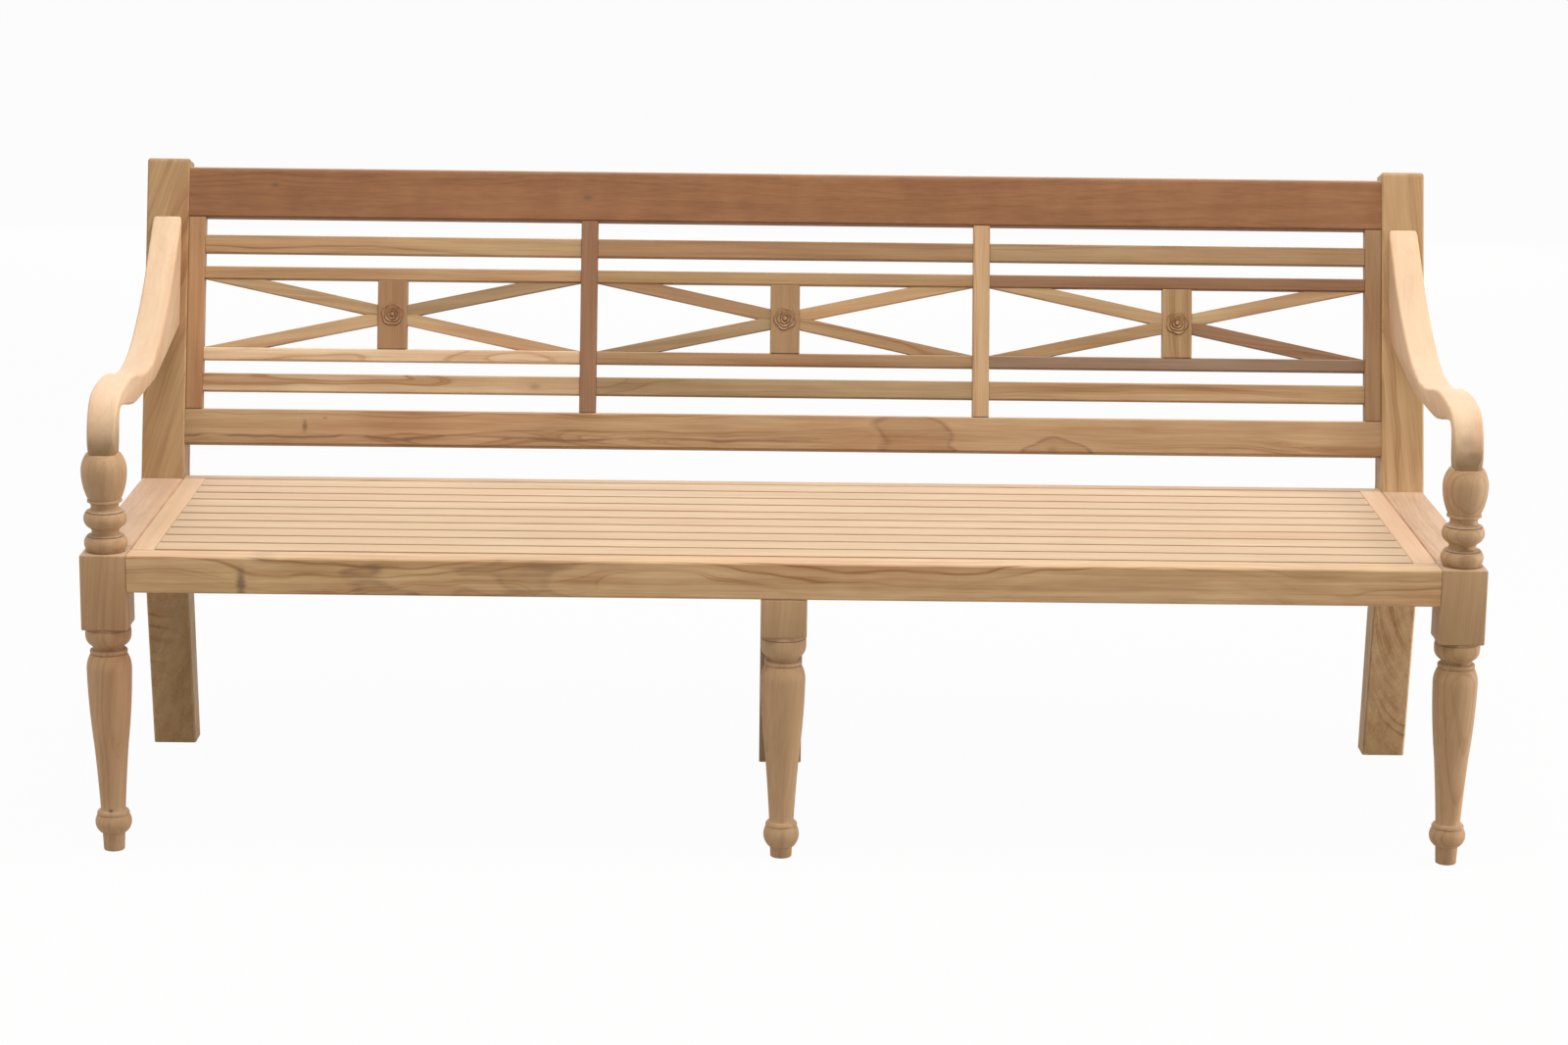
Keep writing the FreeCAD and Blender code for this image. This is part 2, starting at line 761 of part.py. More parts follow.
def build():
    """Every piece by name, drawn from the front face of the front legs."""
    parts = {}

    def pair(name, shape):
        parts[name + "_right"] = shape
        parts[name + "_left"] = mirrored(shape)

    pair("front_leg", front_leg())
    parts["front_leg_middle"] = front_middle_leg()
    pair("back_leg", back_leg())
    parts["back_leg_middle"] = back_middle_leg()
    parts["front_rail"] = seat_rail((0, front_rail_thickness), front_rail_tenon(), front_middle_tenon())
    back_rail_y = (back_rail_front, back_rail_front + back_rail_thickness)
    parts["back_rail"] = seat_rail(back_rail_y, back_rail_tenon(), back_middle_tenon())
    pair("side_rail", side_rail())
    pair("seat_end_board", end_board())
    for name, x, z in bearer_places():
        parts["seat_bearer_" + name] = across_seat(x, z)
    for index in range(slat_count):
        parts["seat_slat_%02d" % (index + 1)] = seat_slat(index)
    parts["top_rail"] = top_rail()
    parts["lower_back_rail"] = lower_back_rail()
    for name, x in upright_places():
        parts[name] = upright(x)
    for bay, middle in bays():
        for name, thickness, z in crosspieces():
            parts[name + "_" + bay] = crosspiece(middle, thickness, z)
        parts["centre_board_" + bay] = centre_board(middle)
        for name, lath in laths(middle, 0):
            parts["lath_" + bay + "_" + name] = leaned(lath)
    pair("arm", arm())
    return parts


def save(parts):
    """Moves the bench over its origin and writes one file for each piece."""
    os.makedirs("parts", exist_ok=True)
    front = parts["front_leg_right"].optimalBoundingBox().YMin
    rear = parts["back_leg_right"].optimalBoundingBox().YMax
    for name, shape in parts.items():
        shape.translate(Vector(0, -(front + rear) / 2, 0))
        shape.exportStep("parts/" + name + ".step")
        print(name, len(shape.Solids), shape.isValid(), round(shape.Volume / 1000, 1), "cm3")


save(build())
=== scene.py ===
# %% [markdown]
# # A teak bench
# The bench is a frame of solid teak boards that are tenoned into each other. Every board is already
# here at its real size and place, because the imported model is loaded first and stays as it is. What
# this script adds is the look: the grain and tone of each board, the smooth turned legs and arm
# posts, the swan-neck arms, the carved rosettes, the light and the camera.

# %% Load the boards
import math

import bpy
from mathutils import Matrix, Vector


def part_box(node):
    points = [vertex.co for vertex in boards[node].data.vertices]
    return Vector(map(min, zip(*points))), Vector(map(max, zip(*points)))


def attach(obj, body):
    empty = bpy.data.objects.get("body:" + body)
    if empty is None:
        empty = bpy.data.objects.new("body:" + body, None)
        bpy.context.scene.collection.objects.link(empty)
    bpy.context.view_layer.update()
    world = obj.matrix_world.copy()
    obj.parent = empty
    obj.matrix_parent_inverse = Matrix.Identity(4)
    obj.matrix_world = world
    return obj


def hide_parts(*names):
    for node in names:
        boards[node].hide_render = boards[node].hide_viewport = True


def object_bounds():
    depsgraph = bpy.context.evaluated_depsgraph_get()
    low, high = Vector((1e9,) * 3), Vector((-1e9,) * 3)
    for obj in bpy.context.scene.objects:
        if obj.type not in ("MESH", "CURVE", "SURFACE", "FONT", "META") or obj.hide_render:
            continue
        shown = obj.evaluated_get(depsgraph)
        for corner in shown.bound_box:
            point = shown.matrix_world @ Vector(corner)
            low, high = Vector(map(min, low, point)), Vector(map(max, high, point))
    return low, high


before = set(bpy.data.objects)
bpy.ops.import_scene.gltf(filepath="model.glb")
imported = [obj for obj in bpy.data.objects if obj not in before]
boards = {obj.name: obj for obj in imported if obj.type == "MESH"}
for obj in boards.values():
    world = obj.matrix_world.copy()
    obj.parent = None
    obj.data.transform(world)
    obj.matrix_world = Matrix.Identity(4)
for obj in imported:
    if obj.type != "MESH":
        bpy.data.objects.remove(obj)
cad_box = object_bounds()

print(len(boards), "boards, from", tuple(cad_box[0]), "to", tuple(cad_box[1]))

# %% [markdown]
# ## Sizes
# The sizes are the joiner's, in millimetres. Blender works in metres, so one factor turns the first
# into the second. The faces that new pieces have to meet are read from the boards themselves.

# %% Sizes
MM = 0.001

leg_width = 66 * MM
leg_tenon_length = 26 * MM
block_height = 110 * MM
middle_block_height = 56 * MM
lean = math.radians(16)

leg_axis_x = cad_box[1].x - leg_width / 2
front_face_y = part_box("front_leg_right")[0].y
leg_axis_y = front_face_y + leg_width / 2
seat_top_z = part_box("front_rail")[1].z
rail_bottom_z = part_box("back_leg_middle")[1].z - leg_tenon_length
block_bottom_z = seat_top_z - block_height
middle_block_bottom_z = rail_bottom_z - middle_block_height
arm_bottom_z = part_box("arm_right")[0].z
up_the_back = Vector((0, math.sin(lean), math.cos(lean)))
out_of_the_back = Vector((0, -math.cos(lean), math.sin(lean)))
print("seat at", round(seat_top_z, 4), "arms stand at", round(arm_bottom_z, 4))

# %% [markdown]
# ## Helpers
# Colours are written as the hex values that a colour picker shows. Blender's nodes want linear light,
# so one function converts them. A second one adds a shader node of any kind, with its inputs, which
# are plain values or the sockets of other nodes, and its settings, and gives back one output.

# %% Colour and node helpers
def srgb(hex_colour):
    """The linear colour of an sRGB hex value."""
    channels = [int(hex_colour[place:place + 2], 16) / 255 for place in (1, 3, 5)]
    return [c / 12.92 if c <= 0.04045 else ((c + 0.055) / 1.055) ** 2.4 for c in channels] + [1.0]


def add_node(tree, kind, inputs=(), output=0, **settings):
    """Adds one node, sets its properties, fills or links its inputs, and gives one output."""
    made = tree.nodes.new("ShaderNode" + kind)
    for name, value in settings.items():
        setattr(made, name, value)
    for socket, value in (inputs.items() if isinstance(inputs, dict) else enumerate(inputs)):
        if isinstance(value, bpy.types.NodeSocket):
            tree.links.new(value, made.inputs[socket])
        else:
            made.inputs[socket].default_value = value
    return made.outputs[output]


# A Map Range node with this setting eases in and out between its ends
SMOOTH = {"interpolation_type": "SMOOTHSTEP"}
print("mid grey is", round(srgb("#808080")[0], 3), "in linear light")

# %% [markdown]
# ## Teak
# Teak is a straight-grained, honey-brown wood, here sanded and left bare. What the eye reads is its
# growth rings: where a board is cut along them they open into flames, and where it is cut across
# them they close into stripes. A picture of wood would show the same flame on every face, so the
# rings are drawn in three dimensions instead, in the log that the board was sawn from.
#
# The tones are those of the boards. The other colours lie over them: the late wood of each year,
# rosy and olive casts, knots, dark heartwood, end grain that drinks oil, a painted highlight that
# makes up-facing faces paler, painted shade on faces that turn away, such as carved slopes and the
# sides of seat slats, and grey faded in by height, which on the arms' necks is painted shade.

# %% Colours of teak
tones = {
    "russet": "#8A5F3D", "chestnut": "#B18A63", "umber": "#8F6C4F", "brown": "#9F7F5C", "nut": "#A98A63",
    "drab": "#A48A67", "grey": "#8C735D", "straw": "#B79A73", "fawn": "#B5956F",
    "tan": "#BC9A70", "wheat": "#B89670", "sand": "#C1A17A", "honey": "#D6B386",
    "biscuit": "#CDB28E", "rose": "#CFA582", "peach": "#DBB28C", "cream": "#C4A885",
    "ivory": "#DFC4A1", "butter": "#D5B694",
}
LATE_WOOD = "#B99F86"
ROSY = "#F0CDB6"
OLIVE = "#E4DFC0"
KNOT = "#523F2F"
HEARTWOOD = "#6E4C35"
END_GRAIN = "#C3B1A4"
# The pale tint of the painted highlight on up-facing faces, the dark tint of painted shade, and a grey faded
# in by height
PAINTED_TOP_LIGHT = "#EBD3B8"
PAINTED_SHADE_TINT = "#A87A58"
GREY_FADE = "#B0A591"
print("tones of teak:", ", ".join(tones))

# %% [markdown]
# ### The board in its log
# A Mapping node turns each board so that its grain runs along X and the tree's pith lies on the X
# axis, some way off. Every board has its own stretch of log and its own side of the pith. The
# distance from the pith, bent a little by noise, then runs through a one-dimensional noise, so the
# years differ in width and in darkness as they do in a real log.
#
# Over the rings lie patterns that are stretched along the grain: fine fibres, long soft bands and
# blotches. Real fibres are a few tenths of a millimetre wide, too fine to show in the render, so
# they are drawn 2.4 mm wide. Bends of the grain are about 590 mm long and 170 mm across.

# %% Rings, fibres and bands
RING_SPACING = 9 * MM
FIBRE_WIDTH = 2.4 * MM
BAND_WIDTH = 14 * MM
BLOTCH_WIDTH = 60 * MM

# How many patches of each pattern a metre holds, along the grain and across it
FIBRES = (9, 1 / FIBRE_WIDTH)
BANDS = (1.1, 1 / BAND_WIDTH)
BLOTCHES = (5, 1 / BLOTCH_WIDTH)
BENDS = (1.7, 6)
PLAIN_STRETCHES = (1.3, 14)
CASTS = (1.6, 12)
FLAME_WAVER = (9, 24)
STREAK_WANDER = (7, 2)

BEND_DEPTH = 70 * MM
MOST_BEND_CURL = 1.5
LATE_WOOD_SHADE = 0.22
YEAR_LINE_SHADE = 0.3

# Metres along the log from one board to the next, and the pith's distance and side
LOG_STEP = 0.7
PITH_AWAY = 70 * MM
PITH_SPREAD = 50 * MM
PITH_PACE = 1.7
PITH_TURN = 2.4


def in_its_log(tree, place, along, seed, middle):
    """Where a point of the board lies in its log, with X along the grain and the pith on the X axis."""
    turn = Vector(along).rotation_difference(Vector((1, 0, 0)))
    side = seed * PITH_TURN
    away = PITH_AWAY + PITH_SPREAD * math.sin(seed * PITH_PACE)
    pith = Vector((LOG_STEP * seed, math.cos(side) * away, math.sin(side) * away))
    return add_node(tree, "Mapping", {
        "Vector": place, "Location": pith - turn @ middle, "Rotation": turn.to_euler(),
    }, vector_type="POINT")


def grain_noise(tree, log, patches, detail, curl=1.0, output="Fac"):
    """Noise stretched along the grain. More curl makes it change sooner along the board."""
    along, across = patches
    stretched = add_node(tree, "VectorMath", (log, (along * curl, across, across)), operation="MULTIPLY")
    return add_node(tree, "TexNoise", {"Vector": stretched, "Scale": 1.0, "Detail": detail}, output)


def growth_rings(tree, log, figure, curl):
    """The broad late wood of each year, and the thin dark line that ends it."""
    bends = grain_noise(tree, log, BENDS, 3, min(curl, MOST_BEND_CURL), "Color")
    bends = add_node(tree, "VectorMath", (bends, (0.5, 0.5, 0.5)), operation="SUBTRACT")
    bends = add_node(tree, "VectorMath", (bends, (0, BEND_DEPTH, BEND_DEPTH)), operation="MULTIPLY")
    bent = add_node(tree, "VectorMath", (log, bends), operation="ADD")
    from_pith = add_node(tree, "VectorMath", (bent, (0, 1, 1)), operation="MULTIPLY")
    from_pith = add_node(tree, "VectorMath", (from_pith,), "Value", operation="LENGTH")
    year = add_node(tree, "Math", (from_pith, RING_SPACING), operation="DIVIDE")
    year = add_node(tree, "TexNoise", {"W": year, "Scale": 1.0, "Detail": 2.0}, noise_dimensions="1D")
    showing = grain_noise(tree, log, PLAIN_STRETCHES, 1)
    showing = add_node(tree, "MapRange", (showing, 0.4, 0.62, 0.15 * figure, figure), **SMOOTH)
    late_wood = add_node(tree, "MapRange", (year, 0.42, 0.64, 0, 1), **SMOOTH)
    late_wood = add_node(tree, "Math", (late_wood, showing), operation="MULTIPLY")
    line_starts = add_node(tree, "MapRange", (year, 0.545, 0.57, 0, 1), **SMOOTH)
    line_ends = add_node(tree, "MapRange", (year, 0.57, 0.62, 1, 0), **SMOOTH)
    line = add_node(tree, "Math", (line_starts, line_ends), operation="MULTIPLY")
    return late_wood, add_node(tree, "Math", (line, showing), operation="MULTIPLY")


# %% [markdown]
# ### Marks
# A knot is where a branch was cut across. A flame is where the rings swell round a hidden branch:
# the wood inside it is a little darker, and a wavering brown line runs round it. A streak is a thin
# vein of dark heartwood that wanders along a rail and breaks off here and there. Each mark is a layer
# of colour: the way it is mixed in, how much of it there is, and its tint.

# %% Knots, flames, streaks and cut faces
STREAK_SWING = 26 * MM
STREAK_CORE = 0.4 * MM
STREAK_RIM = 3.4 * MM
STREAK_RUN_OUT = 0.2


def from_centre(tree, place, centre, size):
    """How far a point lies from a mark's centre, as a share of the mark's size."""
    offset = add_node(tree, "VectorMath", (place, centre), operation="SUBTRACT")
    offset = add_node(tree, "VectorMath", (offset, size), operation="DIVIDE")
    return add_node(tree, "VectorMath", (offset,), "Value", operation="LENGTH")


def knot_layers(tree, place, fibres, knots):
    """A dark spot for each knot, frayed by the fibres."""
    fraying = add_node(tree, "MapRange", (fibres, 0.3, 0.7, 0, 0.5), **SMOOTH)
    for centre, size, depth in knots:
        frayed = add_node(tree, "Math", (from_centre(tree, place, centre, size), fraying), operation="ADD")
        yield "MIX", add_node(tree, "MapRange", (frayed, 0.4, 1.7, depth, 0), **SMOOTH), KNOT


def flame_layers(tree, place, log, fibres, flames):
    """A darker middle and a wavering rim for each flame."""
    waver = grain_noise(tree, log, FLAME_WAVER, 1)
    waver = add_node(tree, "MapRange", (waver, 0.2, 0.8, -0.5, 0.5), **SMOOTH)
    broken = add_node(tree, "MapRange", (fibres, 0.3, 0.6, 0.5, 1), **SMOOTH)
    for centre, size, depth in flames:
        wavy = add_node(tree, "Math", (from_centre(tree, place, centre, size), waver), operation="ADD")
        yield "MULTIPLY", add_node(tree, "MapRange", (wavy, 1.05, 0.8, 0, 0.5 * depth), **SMOOTH), LATE_WOOD
        rim = add_node(tree, "Math", (wavy, 1.0), operation="SUBTRACT")
        rim = add_node(tree, "Math", (rim,), operation="ABSOLUTE")
        rim = add_node(tree, "MapRange", (rim, 0.0, 0.17, depth, 0), **SMOOTH)
        yield "MIX", add_node(tree, "Math", (rim, broken), operation="MULTIPLY"), HEARTWOOD


def streak_layers(tree, place, log, blotches, streaks):
    """A thin dark vein for each streak, at its height and up to its end along X."""
    sideways = add_node(tree, "SeparateXYZ", (place,), "X")
    height = add_node(tree, "SeparateXYZ", (place,), "Z")
    wander = grain_noise(tree, log, STREAK_WANDER, 4)
    wander = add_node(tree, "Math", (wander, STREAK_SWING, height), operation="MULTIPLY_ADD")
    broken = add_node(tree, "MapRange", (blotches, 0.4, 0.5, 0.35, 1), **SMOOTH)
    for streak_z, end_x, depth in streaks:
        off = add_node(tree, "Math", (wander, streak_z + STREAK_SWING / 2), operation="SUBTRACT")
        off = add_node(tree, "Math", (off,), operation="ABSOLUTE")
        vein = add_node(tree, "MapRange", (off, STREAK_CORE, STREAK_RIM, depth, 0), **SMOOTH)
        here = add_node(tree, "MapRange", (sideways, end_x, end_x - STREAK_RUN_OUT, 0, 1), **SMOOTH)
        here = add_node(tree, "Math", (broken, here), operation="MULTIPLY")
        yield "MIX", add_node(tree, "Math", (vein, here), operation="MULTIPLY"), HEARTWOOD


def cut_layers(tree, along, end_dark, painted_shade_away):
    """Darker end grain, a painted highlight on upper faces, and painted shade on the faces that turn away
    from a direction.
    """
    normal = add_node(tree, "TexCoord", output="Normal")
    grain = Vector(along).normalized()
    end_on = add_node(tree, "VectorMath", (normal, grain), "Value", operation="DOT_PRODUCT")
    end_on = add_node(tree, "Math", (end_on,), operation="ABSOLUTE")
    yield "MULTIPLY", add_node(tree, "MapRange", (end_on, 0.6, 0.92, 0, end_dark), **SMOOTH), END_GRAIN
    # Painted highlight: faces that look up are mixed towards a pale colour
    upward = add_node(tree, "SeparateXYZ", (normal,), "Z")
    yield "MIX", add_node(tree, "MapRange", (upward, 0.7, 1.0, 0, 0.3), **SMOOTH), PAINTED_TOP_LIGHT
    # Painted shade: faces that turn away from the direction are darkened, as in gaps and hollows
    if painted_shade_away:
        direction, amount = painted_shade_away
        facing = add_node(tree, "VectorMath", (normal, direction), "Value", operation="DOT_PRODUCT")
        yield "MULTIPLY", add_node(tree, "MapRange", (facing, 0.96, 0.65, 0, amount), **SMOOTH), PAINTED_SHADE_TINT


def grey_fade_layers(tree, place, fades):
    """Grey that comes in between the height where the wood is clear and the height where it is full."""
    height = add_node(tree, "SeparateXYZ", (place,), "Z")
    for full_z, clear_z, amount in fades:
        yield "MULTIPLY", add_node(tree, "MapRange", (height, clear_z, full_z, 0, amount), **SMOOTH), GREY_FADE


# %% [markdown]
# ### The whole material
# Sanded teak is matt, and a little rougher where its fibres are dark. Its IOR starts from that of
# wood, about 1.5, and is matched to the soft gloss of the bench. The relief of its grain is a few
# tenths of a millimetre, with the late wood a little lower than the rest. Each pattern has a shade
# for a plain board, and more of it the livelier the board's figure is.

# %% The sanded teak of one board
GRAIN_RELIEF = 0.3 * MM


def sawn_teak(name, tone, along, seed, middle, figure=1.0, curl=1.0, knots=(), flames=(), streaks=(),
              end_dark=0.3, painted_shade_away=None, fades=()):
    """Sanded teak in a tone: its grain's direction, its own place in the log, and its marks."""
    material = bpy.data.materials.new("sanded_teak_" + name)
    material.use_nodes = True
    tree = material.node_tree
    place = add_node(tree, "TexCoord", output="Object")
    log = in_its_log(tree, place, along, seed, middle)
    late_wood, year_line = growth_rings(tree, log, figure, curl)
    fibres = grain_noise(tree, log, FIBRES, 3, curl)
    bands = grain_noise(tree, log, BANDS, 2, curl)
    blotches = grain_noise(tree, log, BLOTCHES, 2, curl)

    shade = add_node(tree, "Math", (late_wood, LATE_WOOD_SHADE), operation="MULTIPLY")
    shade = add_node(tree, "Math", (year_line, YEAR_LINE_SHADE, shade), operation="MULTIPLY_ADD")
    patterns = ((fibres, 0.72, 0.06, 0.14), (bands, 0.7, 0.08, 0.18), (blotches, 0.7, 0.12, 0.1))
    for pattern, full, plain, lively in patterns:
        more = add_node(tree, "MapRange", (pattern, 0.3, full, 0, plain + lively * figure), **SMOOTH)
        shade = add_node(tree, "Math", (shade, more), operation="ADD")

    cast = grain_noise(tree, log, CASTS, 1)
    layers = [
        ("MULTIPLY", shade, LATE_WOOD),
        ("MULTIPLY", add_node(tree, "MapRange", (cast, 0.5, 0.75, 0, 0.4), **SMOOTH), ROSY),
        ("MULTIPLY", add_node(tree, "MapRange", (cast, 0.5, 0.25, 0, 0.3), **SMOOTH), OLIVE),
        *knot_layers(tree, place, fibres, knots),
        *flame_layers(tree, place, log, fibres, flames),
        *streak_layers(tree, place, log, blotches, streaks),
        *cut_layers(tree, along, end_dark, painted_shade_away),
        *grey_fade_layers(tree, place, fades),
    ]
    colour = srgb(tones[tone])
    for kind, amount, tint in layers:
        inputs = {0: amount, 6: colour, 7: srgb(tint)}
        colour = add_node(tree, "Mix", inputs, 2, data_type="RGBA", blend_type=kind)

    dents = add_node(tree, "Math", (late_wood, 0.3), operation="MULTIPLY")
    relief = add_node(tree, "Math", (fibres, 0.6), operation="MULTIPLY")
    relief = add_node(tree, "Math", (relief, dents), operation="SUBTRACT")
    bump = add_node(tree, "Bump", {"Strength": 0.2, "Distance": GRAIN_RELIEF, "Height": relief})
    roughness = add_node(tree, "MapRange", (fibres, 0.3, 0.7, 0.55, 0.68), **SMOOTH)
    surface = tree.nodes["Principled BSDF"]
    tree.links.new(colour, surface.inputs["Base Color"])
    tree.links.new(roughness, surface.inputs["Roughness"])
    tree.links.new(bump, surface.inputs["Normal"])
    surface.inputs["IOR"].default_value = 1.45
    surface.inputs["Specular IOR Level"].default_value = 0.35
    return material


print("a board's rings are about", round(RING_SPACING / MM), "mm apart")

# %% [markdown]
# ## A tone for each board
# A maker takes boards as they come, so their tones differ. The reddish boards of this bench are the
# top rail and some uprights, and the palest ones are in the seat and the arms. Each board gets a
# material of its own, with its own place in the log, so that no figure repeats. The grain of the
# posts runs a little aslant, which is why their stripes cross them.

# %% Tones and grain of the sawn boards
along_x = (1, 0, 0)
along_y = (0, 1, 0)
along_back = tuple(up_the_back)
slanting_left = tuple(up_the_back + Vector((0.3, 0, 0)))
slanting_right = tuple(up_the_back - Vector((0.1, 0, 0)))

board_tones = {
    "front_rail": ("honey", along_x), "back_rail": ("tan", along_x),
    "top_rail": ("russet", along_x), "lower_back_rail": ("fawn", along_x),
    "stile_left": ("chestnut", along_back), "stile_right": ("brown", along_back),
    "muntin_left": ("umber", along_back), "muntin_right": ("sand", along_back),
    "side_rail_left": ("rose", along_y), "side_rail_right": ("rose", along_y),
    "seat_end_board_left": ("peach", along_y), "seat_end_board_right": ("peach", along_y),
    "back_leg_left": ("tan", slanting_left), "back_leg_right": ("honey", slanting_right),
    "back_leg_middle": ("sand", (0, 0, 1)),
    "upper_slat_left": ("straw", along_x), "upper_slat_middle": ("brown", along_x),
    "upper_slat_right": ("drab", along_x), "lower_slat_left": ("biscuit", along_x),
    "lower_slat_middle": ("drab", along_x), "lower_slat_right": ("straw", along_x),
    "upper_panel_rail_left": ("straw", along_x), "upper_panel_rail_middle": ("nut", along_x),
    "upper_panel_rail_right": ("umber", along_x), "lower_panel_rail_left": ("ivory", along_x),
    "lower_panel_rail_middle": ("brown", along_x), "lower_panel_rail_right": ("grey", along_x),
    "centre_board_left": ("brown", along_back), "centre_board_middle": ("brown", along_back),
    "centre_board_right": ("nut", along_back),
}
for place in ("left", "middle", "right"):
    board_tones["seat_bearer_" + place] = ("tan", along_y)
for number in range(1, 11):
    board_tones["seat_slat_%02d" % number] = ("cream", along_x)

print(len(board_tones), "boards have a tone")

# %% [markdown]
# All twelve laths have the same slope, half of them one way and half the other. It is worked out
# from the box of the first one, and each lath's grain runs along it.

# %% Tones and grain of the laths
lath_width = 19.5 * MM
lath_low, lath_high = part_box("lath_left_upper_left")
lath_rise = (lath_high.z - lath_low.z) / math.cos(lean) - lath_width
lath_slope = math.atan2(lath_rise, lath_high.x - lath_low.x)
lath_corners = (("upper", "left", -1), ("upper", "right", 1), ("lower", "left", 1), ("lower", "right", -1))
lath_tones = {
    "left": ("straw", "drab", "sand", "sand"),
    "middle": ("brown", "tan", "drab", "nut"),
    "right": ("straw", "straw", "nut", "umber"),
}
for bay, four in lath_tones.items():
    for tone, (level, side, way) in zip(four, lath_corners):
        grain = Vector((math.cos(lath_slope), 0, 0)) + up_the_back * (way * math.sin(lath_slope))
        board_tones["lath_%s_%s_%s" % (bay, level, side)] = (tone, tuple(grain))
print("laths rise by", round(math.degrees(lath_slope), 1), "degrees")

# %% [markdown]
# ## The marks that the eye finds first
# Most of the figure falls where it will, but a few marks make these boards what they are: the big
# knot near the left end of the front rail, the two flames and the dark streak in the lower back
# rail, and some smaller knots. A mark is given as a maker would point at it, by its place on the
# board and its size, and it runs right through, so it shows on both faces of a leaning rail.

# %% Knots, flames and streaks of the boards
MARK_REACH = 400
HALF_RAIL = 12 * MM

front_rail_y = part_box("front_rail")[0].y
lower_rail_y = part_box("lower_back_rail")[0].y + HALF_RAIL
lower_rail_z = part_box("lower_back_rail")[0].z
top_rail_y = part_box("top_rail")[0].y + HALF_RAIL
top_rail_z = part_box("top_rail")[0].z
slat_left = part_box("lower_slat_left")[0]


def mark(x, y, z, long, high, depth):
    """A mark's centre, its size (given in millimetres along the board and up it), and its strength."""
    return Vector((x, y, z)), Vector((long, MARK_REACH, high)) * MM, depth


board_knots = {
    "front_rail": [
        mark(-0.771, front_rail_y, seat_top_z - 37 * MM, 7, 21, 0.7),
        mark(-0.742, front_rail_y, seat_top_z, 17, 9, 0.25),
        mark(-0.58, front_rail_y, seat_top_z - 12 * MM, 17, 6, 0.22),
        mark(-0.33, front_rail_y, seat_top_z - 14 * MM, 26, 7, 0.18),
    ],
    "lower_back_rail": [
        mark(-0.747, lower_rail_y, lower_rail_z + 36 * MM, 4, 10, 0.6),
        mark(-0.716, lower_rail_y, lower_rail_z + 48 * MM, 4, 2, 0.4),
        mark(0.42, lower_rail_y, lower_rail_z + 12 * MM, 9, 6, 0.3),
    ],
    "top_rail": [
        mark(-0.80, top_rail_y, top_rail_z + 57 * MM, 7, 4, 0.5),
        mark(-0.311, top_rail_y, top_rail_z + 43 * MM, 8, 4, 0.5),
    ],
    "lower_slat_left": [mark(-0.39, slat_left.y, slat_left.z + 16 * MM, 9, 5, 0.35)],
}
board_flames = {
    "front_rail": [
        mark(-0.575, front_rail_y, seat_top_z - 62 * MM, 52, 46, 0.5),
        mark(-0.36, front_rail_y, seat_top_z - 90 * MM, 100, 72, 0.35),
    ],
    "lower_back_rail": [
        mark(0.212, lower_rail_y, lower_rail_z + 20 * MM, 62, 34, 0.6),
        mark(0.42, lower_rail_y, lower_rail_z - 4 * MM, 42, 33, 0.6),
    ],
}
# Height, end along X and strength
board_streaks = {"lower_back_rail": [(lower_rail_z + 21 * MM, 0.12, 0.75)]}
print("marked boards:", ", ".join(sorted(board_knots)))

# %% [markdown]
# ## Plain boards and lively boards
# Boards differ in how strongly their rings show, how soon their pattern changes along the grain,
# and where grey is faded in by height. Each table names only the boards that differ, by the start of
# their names. The back posts are darker towards their tops, and the right one is also darker above
# the seat than at its foot: painted light that lifts the shade under the seat.

# %% Figure, curl and wear of the boards
board_figures = {
    "seat_end_board": 0.3, "side_rail": 0.9, "seat_slat": 0.5, "front_rail": 1.2,
    "top_rail": 0.75, "lower_slat_right": 1.5, "lower_slat_left": 1.3, "centre_board": 0.7,
}
board_curls = {"top_rail": 4.0, "lower_back_rail": 1.4, "front_rail": 1.5, "side_rail": 2.5}
# Height where the grey is full, height where it is gone, and strength. The right post's
# second fade keeps its foot under the seat lighter, as painted light.
board_fades = {"back_leg_left": [(0.9, 0.6, 0.32)], "back_leg_right": [(0.9, 0.6, 0.22), (0.5, 0.36, 0.33)]}


def found(table, name, usual):
    """The value of the first entry whose name starts this board's name."""
    return next((value for start, value in table.items() if name.startswith(start)), usual)


print(len(board_figures), "kinds of board have a figure of their own")

# %% [markdown]
# ## Finish the sawn boards
# A planed board never has a knife-sharp edge: it is eased with a stroke of sandpaper, and the eye
# sees that as a thin line of light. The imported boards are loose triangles, so a Weld modifier joins
# them first, a Bevel rounds what the plane left, and Weighted Normal keeps the wide faces flat. As
# modifiers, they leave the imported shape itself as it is.

# %% Ease the edges and lay on the teak
EASED_EDGE = 0.8 * MM
SAME_POINT = 0.02 * MM
SHARP_EDGE = math.radians(25)
# Direction and strength of the painted shade on the seat slats' sides, for the dark gaps between them
SLAT_SIDE_SHADE = ((0, 0, 1), 0.55)


def ease_edges(piece, width):
    """Joins a board's triangles and rounds its edges, with the wide faces kept flat."""
    weld = piece.modifiers.new("weld", "WELD")
    weld.merge_threshold = SAME_POINT
    bevel = piece.modifiers.new("eased edges", "BEVEL")
    bevel.width = width
    bevel.segments = 2
    bevel.limit_method = "ANGLE"
    bevel.angle_limit = SHARP_EDGE
    piece.data.shade_smooth()
    normals = piece.modifiers.new("flat faces", "WEIGHTED_NORMAL")
    normals.weight = 90


def lay_on(piece, material):
    """Gives a piece its one material."""
    piece.data.materials.clear()
    piece.data.materials.append(material)


board_numbers = {name: number for number, name in enumerate(sorted(board_tones), 1)}


